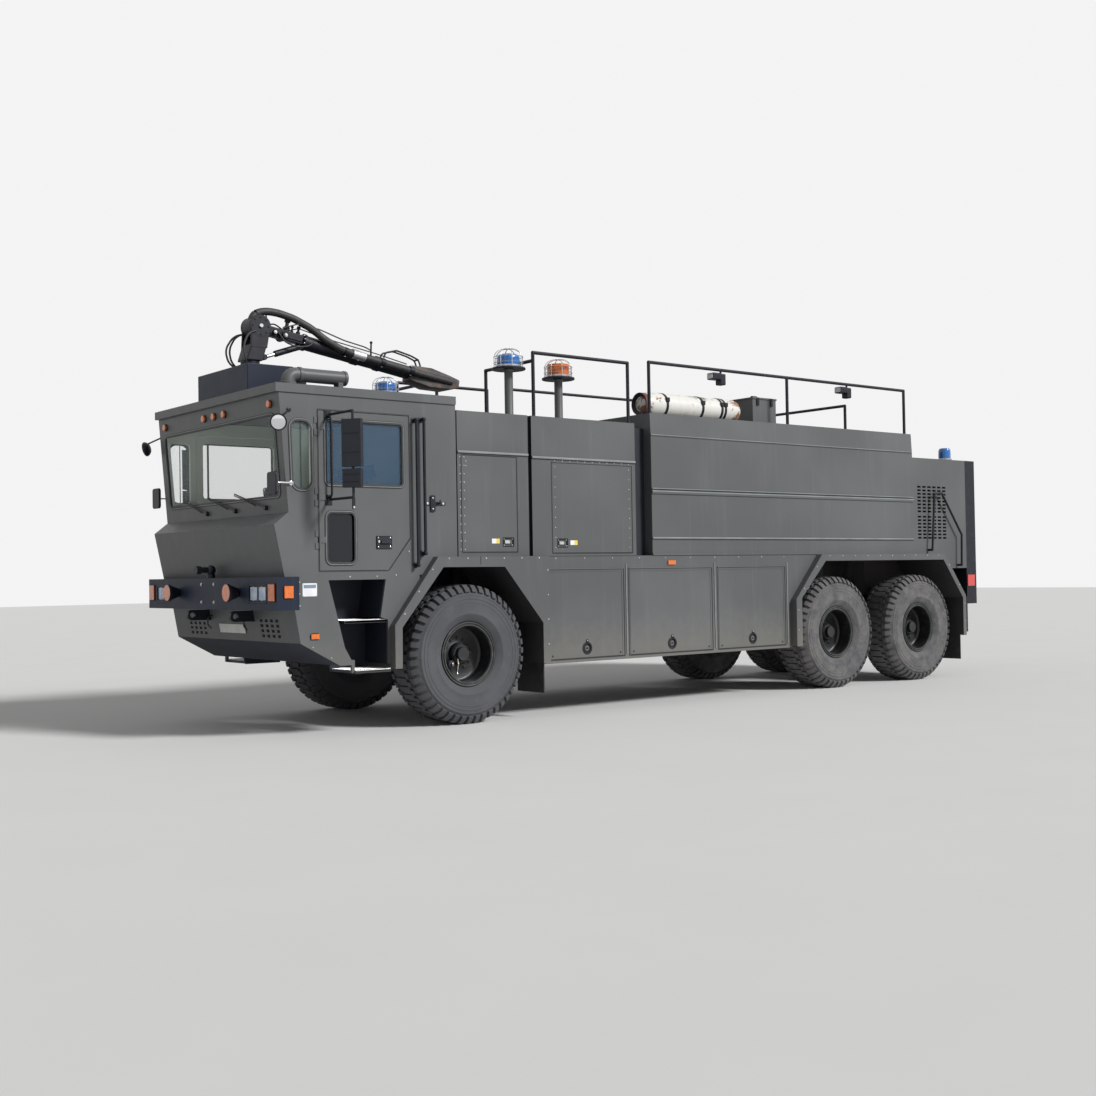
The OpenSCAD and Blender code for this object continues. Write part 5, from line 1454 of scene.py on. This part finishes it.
def makeBodyFittings():
    z0, pitch, count = bodyKit["hinge"]
    parts = [rivetRow(spot(2.214, skin, z0), up * pitch, count, 0.0075)]
    s0, z, step, number = bodyKit["topRow"]
    parts.append(rivetRow(spot(s0, skin, z), ahead * -step, number))
    # Rivets of the flares and along the deck edge
    parts.append(rivetRow(spot(3.5, skin, 1.758), ahead * -0.42, 10, 0.0075))
    parts.append(rivetRow(spot(0.292, skin, 1.315), up * 0.115, 3, 0.0085))
    for line in bodyKit["lines"]:
        parts += alongLine(*line)
    # Joint in the flare's top edge
    add(parts, "rubber", panel("joint", (2.396, 2.408, 1.7, 1.784), flareFace, 0.0012))
    # Feet of the grab bars
    for s, low, high in bodyKit["grabs"]:
        for z in (low, high):
            add(parts, "black", turned("grabFoot", ((0, 0), (0.032, 0), (0.032, 0.005), (0.026, 0.009),
                (0.017, 0.01), (0, 0.01)), spot(s, skin, z), out, 28))
            bend = spot(s, skin + 0.062, z)
            add(parts, "black", turned("grabBoss", echoed((0, -0.021), (0.014, -0.018), (0.02, -0.01), (0.0205, 0)),
                bend, out, 24))
    # Bracket for a tool: strap, upright plate and hooks
    add(parts, "black", panel("toolStrap", (1.757, 2.016, 2.322, 2.36), skin, 0.01, 0.008, 0.002))
    add(parts, "black", panel("toolPlate", (1.826, 1.886, 2.255, 2.427), skin + 0.009, 0.008, 0.012, 0.002))
    for ds, dz in ((1.856, 2.285), (1.856, 2.398), (1.79, 2.341), (1.985, 2.341)):
        add(parts, "steel", bolt(spot(ds, skin + 0.01, dz), out, 0.01))
    add(parts, "black", pipe("toolHook", spots((1.925, skin + 0.008, 2.341), (1.925, skin + 0.046, 2.341),
        (1.925, skin + 0.046, 2.378)), 0.007, 0.012))
    bothSides(parts, "bodyFittings")


# Steps as (s, s, y, y, height), and the pitch of their bars and teeth
stepKit = {"treads": ((0.802, 1.293, 0.982, 1.416, 1.15), (0.895, 1.294, 0.982, 1.476, 0.65)), "barPitch": 0.03,
    "toothPitch": 0.024}


def makeSteps():
    parts = []
    bars, teeth = (stepKit["barPitch"], stepKit["toothPitch"])
    for s0, s1, y0, y1, z in stepKit["treads"]:
        # Grated tread: bars along the step, and a toothed edge strip
        first = block("treadBar", spot(s1, y0 + 0.01, z), spot(s0, y0 + 0.016, z + 0.006), 0.001)
        add(parts, "steel", row(first, out * bars, int((y1 - y0 - 0.02) / bars)))
        add(parts, "steel", block("treadEdge", spot(s1, y1 - 0.006, z - 0.024), spot(s0, y1 + 0.002, z + 0.006),
            0.0015))
        tooth = block("tooth", spot(s1, y1 - 0.03, z + 0.005), spot(s1 - 0.012, y1 + 0.002, z + 0.011), 0.0015)
        add(parts, "steel", row(tooth, ahead * teeth, int((s1 - s0) / teeth)))
    bothSides(parts, "stepTreads")


# Straps of the gas bottle
bottle = {"axis": (1.1, 3.6303), "straps": (5.45, 6.06, 6.4, 6.462), "front": 5.12}


def makeBottleStraps():
    y, z = bottle["axis"]
    parts = []
    for s in bottle["straps"]:
        place = spot(s, y, z)
        add(parts, "black", turned("strap", echoed((0.1502, -0.02), (0.153, -0.02), (0.1545, -0.018)), place, ahead,
            56))
        add(parts, "black", block("buckle", *around(place, (-0.028, 0.14, 0.03), (0.028, 0.163, 0.085)), 0.006))
    # Foot ring at the front end with its plain shell behind
    front = spot(bottle["front"], y, z)
    add(parts, "darkRed", turned("footRing", ((0.128, -0.06), (0.136, -0.06), (0.1385, -0.05), (0.1385, 0.008),
        (0.136, 0.011), (0.131, 0.011), (0.128, 0.008)), front, ahead, 56))
    add(parts, "slate", turned("endShell", ((0, -0.03), (0.04, -0.029), (0.08, -0.022), (0.11, -0.008),
        (0.1285, 0.002), (0.1285, -0.04), (0, -0.04)), front, ahead, 48))
    whole(parts, "bottleStraps")


# On the deck: a hatch box, and manholes as (distance, radius)
deck = {"hatch": (7.018, 7.482, 0.808, 1.192), "straps": (7.12, 7.38),
    "manholes": ((5.7, 0.26), (8.05, 0.3), (9.45, 0.2)), "manholeZ": 3.48}


def makeTopFittings():
    parts = []
    # Lid, hinges and handle of the hatch box
    s0, s1, y0, y1 = deck["hatch"]
    add(parts, "cabPaint", block("hatchLid", spot(s1, y0, 3.812), spot(s0, y1, 3.836), 0.006))
    for s in deck["straps"]:
        add(parts, "black", block("hatchStrap", spot(s + 0.02, 1.19, 3.73), spot(s - 0.02, 1.198, 3.834), 0.003))
    add(parts, "black", pipe("hatchHandle", spots((7.19, 1, 3.834), (7.19, 1, 3.874), (7.31, 1, 3.874),
        (7.31, 1, 3.834)), 0.008, 0.018))
    # Manholes and a filler on the tank
    for s, radius in deck["manholes"]:
        place = spot(s, 0, deck["manholeZ"])
        add(parts, "cabPaint",
            turned("manhole", ((0, 0.042), (radius * 0.5, 0.04), (radius * 0.92, 0.032), (radius, 0.026),
            (radius, 0.012), (radius * 1.08, 0.01), (radius * 1.08, 0), (0, 0)), place, up, 48))
        add(parts, "steel", ringOf(bolt(place + Vector((radius * 1.03, 0, 0.009)), up, 0.01), 12, place, up))
    whole(parts, "topFittings")


def makeGrilleBacks():
    # Radiator core behind the slots of the engine box, with its fins, in a near-black colour that is painted shade
    parts = [dress(block("core", spot(10.835, 1.36, 1.985), spot(10.1, 1.395, 2.835), 0.004), "shadow")]
    fin = block("fin", spot(10.83, 1.394, 2.0), spot(10.826, 1.402, 2.82))
    add(parts, "shadow", row(fin, ahead * 0.024, 30))
    bothSides(parts, "grilleBacks")


def makeHubValve():
    # Inflation valve inside the front wheel's well
    x = wheel["axles"][0][1]
    centre = hub(x)
    canister = turned("canister", ((0, 0), (0.04, 0), (0.044, 0.006), (0.044, 0.07), (0.038, 0.08), (0.014, 0.084),
        (0.014, 0.098), (0, 0.098)), centre + Vector((0.128, -0.006, -0.108)), out, 36)
    parts = [dress(canister, "slate")]
    add(parts, "chrome",
        pipe("airPipe", around(centre, (0.05, 0.06, -0.205), (0.05, 0.08, -0.12), (0.058, 0.084, 0.03),
        (0.058, 0.03, 0.062)), 0.007, 0.03))
    for dx, dy, dz, radius in ((0.058, 0.084, -0.02, 0.013), (0.05, 0.082, -0.11, 0.012),
            (0.128, 0.092, -0.108, 0.01)):
        add(parts, "brass", turned("fitting", echoed((0, -0.016), (radius * 0.7, -0.016), (radius, -0.01)),
            centre + Vector((dx, dy, dz)), up, 6, 20))
    add(parts, "chrome", turned("knob", echoed((0, -0.014), (0.01, -0.012), (0.015, 0)),
        centre + Vector((0.05, 0.06, -0.212)), up, 20))
    left = joined("hubValveLeft", parts)
    right = copied(left, "hubValveRight")
    turnedTo(right, pi, "Z", (x, 0, 0))
    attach(left, "wheel_front_left")
    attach(right, "wheel_front_right")


# Corner mirrors: the bends of both arms, and the feet as (s, z, radius, finish)
mirrors = {
    "roundArm": ((0.2, 0, 3.223), (0.2, 0.022, 3.223), (0.15, 0.092, 3.2), (0.02, 0.168, 3.13), (0.012, 0.166, 3.09)),
    "flatArm": ((0.22, 0, 2.51), (0.22, 0.03, 2.51), (0.06, 0.03, 2.51)),
    "feet": ((0.22, 2.51, 0.026, "chrome"), (0.2, 3.223, 0.024, "black")),
    "flat": (0.054, -0.138, 0.044, 2.392, 2.618)}


def makeCornerMirrors():
    # Round mirror on its bent arm, and a flat one on a bright arm below it
    parts = []
    for arm, finish, bend in (("roundArm", "black", 0.018), ("flatArm", "chrome", 0.016)):
        add(parts, finish, pipe(arm, [spot(s, skin + lift, z) for s, lift, z in mirrors[arm]], 0.009, bend))
    facing = Vector((0.62, 0.76, -0.18)).normalized()
    place = spot(0.006, skin + 0.16, 3.075)
    add(parts, "black", turned("bowl", ((0, -0.052), (0.03, -0.049), (0.058, -0.036), (0.076, -0.016),
        (0.0825, -0.002), (0.0825, 0.003), (0.078, 0.003), (0, -0.001)), place, facing, 48))
    add(parts, "mirror", turned("roundGlass", ((0, 0.01), (0.03, 0.0088), (0.056, 0.0052), (0.0776, 0.0005),
        (0, 0.0005)), place, facing, 48))
    add(parts, "black", bar("clamp", place + up * 0.072, place + up * 0.02, 0.013, 16, 0.003))
    s, y0, y1, z0, z1 = mirrors["flat"]
    outline = frontOutline(s, skin + y0, skin + y1, z0, z1)
    add(parts, "black", slab("flatShell", outline, ahead * 0.027, 0.032, 0.006))
    glass = shrunk([point - ahead * 0.0006 for point in outline], 0.9)
    add(parts, "mirror", slab("flatGlass", glass, -ahead * 0.002, 0.026))
    for s, z, radius, finish in mirrors["feet"]:
        foot = ((0, 0), (radius, 0), (radius, 0.005), (0.012, 0.01), (0, 0.01))
        add(parts, finish, turned("armFoot", foot, spot(s, skin, z), out, 24))
    doubled(parts, "cornerMirrors", "corner_mirrors")


# Seals and lips drawn along the body: openings as (s, s, z, z), lips as (height, thickness, reach)
lineKit = {"deck": ((2.185, 4.718), (4.984, 10.004)), "posts": (3.352, 4.5475, 6.0075, 7.33),
    "openings": ((2.24, 2.97, 1.83, 2.87), (3.46, 4.66, 1.817, 2.83), (3.37, 4.51, 0.625, 1.63),
        (4.585, 5.96, 0.625, 1.63), (6.055, 7.29, 0.625, 1.63)),
    "door": ((0.522, 1.655), (1.311, 1.655), (1.572, 1.98), (1.572, 3.235), (0.522, 3.235)),
    "ribs": ((2.182, 3.129, 2.901), (3.182, 4.718, 2.881)),
    "tank": (4.982, 10.008, ((2.582, 0.012, 0.015), (2.55, 0.018, 0.0165), (1.994, 0.02, 0.012),
        (3.222, 0.01, 0.005)))}


def makeLines():
    # Rubber round the lockers and the door, and lips in a lighter colour as a painted highlight, with a dark strip
    # under them as a painted shadow
    parts = []
    for s0, s1, z0, z1 in lineKit["openings"]:
        add(parts, "rubber", panel("lockerSeal", (s0, s1, z0, z1), skin - sunk, 0.0022, 0.012, 0, 0.01, grow=0.009))
    door = [spot(s, skin - sunk, z) for s, z in lineKit["door"]]
    middle = sum(door, Vector()) / len(door)
    grown = Matrix.Diagonal((1.03, 1, 1.02))
    door = [middle + grown @ (point - middle) for point in door]
    add(parts, "rubber", slab("doorSeal", door, out * 0.0022, 0.014, 0, 0.01))
    for s0, s1, z in lineKit["ribs"]:
        # Lip in a lighter colour as a painted highlight
        add(parts, "lip", strip("lip", s0, s1, z - 0.012, z + 0.012, 0.015, 0.004))
        # Dark strip under the lip: painted shadow
        add(parts, "rubber", strip("lipShadowStrip", s0, s1, z - 0.026, z - 0.012, 0.002))
    s0, s1, lips = lineKit["tank"]
    for z, tall, reach in lips:
        add(parts, "lip", strip("tankLip", s0, s1, z - tall / 2, z + tall / 2, reach, 0.004))
        # Dark strip under the tank lip: painted shadow
        add(parts, "rubber", strip("tankShadowStrip", s0, s1, z - tall / 2 - 0.014, z - tall / 2, reach * 0.3))
    for s0, s1 in lineKit["deck"]:
        add(parts, "rubber", strip("deckLine", s0, s1, 1.78, 1.788, 0.0015))
    # Standing edges between the lower doors, lighter as a painted highlight
    for s in lineKit["posts"]:
        add(parts, "lip", strip("doorPost", s - 0.008, s + 0.008, 0.64, 1.69, 0.009, 0.003))
    bothSides(parts, "bodyLines")


makeUpperDoors()
makeLowerDoors()
makeBodyFittings()
makeSteps()
makeBottleStraps()
makeTopFittings()
makeGrilleBacks()
makeHubValve()
makeCornerMirrors()
makeLines()
print("body fittings made")


# Seats: cushions crowned over their frames, with a piped seam
seatKit = {"places": ((0.78, 0.76), (0.78, -0.76), (1.25, 0.255), (1.25, -0.255)), "floor": 1.65,
    "crown": (0.012, 0.01, 0.014),
    "cushions": (("seat", 0, 0.48, 0.252, 0.392, 0.245, 0), ("back", 0.43, 0.53, 0.385, 1.005, 0.23, 0.15),
        ("headrest", 0.525, 0.595, 1.015, 1.19, 0.128, 0.18))}


def makeCushion(name, low, high, lean):
    cushion = block(name, low, high)
    editing(cushion)
    selectAll()
    bpy.ops.mesh.subdivide(number_cuts=2)
    thin = min(range(3), key=lambda axis: high[axis] - low[axis])
    choose(cushion, lambda f: abs(f.normal[thin]) > 0.9)
    bpy.ops.mesh.inset(thickness=0.03, use_even_offset=True)
    bpy.ops.transform.shrink_fatten(value=0.014)
    done()
    pick(cushion)
    subdivision = cushion.modifiers.new("round", "SUBSURF")
    subdivision.levels = 2
    bpy.ops.object.modifier_apply(modifier="round")
    smooth(cushion, 60)
    inset = 0.006
    edge = [Vector((a, b, c)) for a in (low[0] + inset, high[0] - inset) for b in (low[1] + inset, high[1] - inset)
        for c in (low[2] + inset, high[2] - inset)]
    loops = []
    for side in (low[thin] + inset, high[thin] - inset):
        ring = [point for point in edge if abs(point[thin] - side) < 1e-06]
        ring = [ring[0], ring[1], ring[3], ring[2], ring[0]]
        loops.append(pipe("piping", ring, 0.0055, 0.04, 2))
    cushion = joined(name, [dress(thing, "seat") for thing in (cushion, *loops)])
    if lean:
        turnedTo(cushion, lean, "Y", ((low[0] + high[0]) / 2, 0, low[2]))
    return cushion


def makeSeats():
    cushions, frames = ([], [])
    floor = seatKit["floor"]
    for s, y in seatKit["places"]:
        for name, s0, s1, z0, z1, half, lean in seatKit["cushions"]:
            low, high = (spot(s + s1, y - half, floor + z0), spot(s + s0, y + half, floor + z1))
            crown = Vector(seatKit["crown"])
            cushions.append(makeCushion(name, low + crown, high - crown, -lean))
        add(frames, "black", block("pedestal", spot(s + 0.4, y - 0.14, floor),
            spot(s + 0.11, y + 0.14, floor + 0.25), 0.012))
        add(frames, "black", block("pan", spot(s + 0.46, y - 0.225, floor + 0.235),
            spot(s + 0.03, y + 0.225, floor + 0.256), 0.006))
        for side in (-0.06, 0.06):
            add(frames, "chrome", bar("headPost", spot(s + 0.52, y + side, floor + 0.94),
                spot(s + 0.555, y + side, floor + 1.06), 0.007, 12))
            add(frames, "black", bar("backPost", spot(s + 0.455, y + side * 3, floor + 0.25),
                spot(s + 0.49, y + side * 3, floor + 0.46), 0.014, 12))
    whole(frames, "seatFrames")
    soft = whole(cushions, "seatCushions", "seats")


makeSeats()
print("seats made")


# Stage and light

studio = {"floor": rgb(0.72, 0.72, 0.71), "sky": rgb(0.9, 0.9, 0.9), "skyLight": 0.3, "keyLight": 3.3,
    "keyTurn": (56, 0, 206), "keySpread": 12, "size": 160}


def makeStage():
    bpy.ops.mesh.primitive_plane_add(size=studio["size"], location=(0, 0, 0))
    floor = bpy.context.object
    floor.name = "floor"
    material, shader, coords = shade("paleFloor", Roughness=0.85)
    look(shader, mixColour(noise(coords, 0.8, 4), studio["floor"], rgb(0.68, 0.68, 0.67)))
    floor.data.materials.append(material)


def makeLight():
    world = bpy.data.worlds.new("paleRoom")
    scene.world = world
    world.use_nodes = True
    tree = world.node_tree
    background = tree.nodes["Background"]
    path = Flow(tree)
    seen = path.node("ShaderNodeLightPath", output="Is Camera Ray")
    glossy = path.node("ShaderNodeLightPath", output="Is Glossy Ray")
    through = path.node("ShaderNodeLightPath", output="Is Transmission Ray")
    direct = most(most(seen, glossy), through)
    background.inputs["Color"].default_value = studio["sky"]
    path.feed(background.inputs["Strength"], direct * (1 - studio["skyLight"]) + studio["skyLight"])
    sun = bpy.data.lights.new("softKey", "SUN")
    sun.energy = studio["keyLight"]
    sun.angle = radians(studio["keySpread"])
    lamp = bpy.data.objects.new("softKey", sun)
    lamp.rotation_euler = [radians(angle) for angle in studio["keyTurn"]]
    scene.collection.objects.link(lamp)


makeStage()
makeLight()
scene.view_settings.view_transform = "Standard"
print("stage and light set")
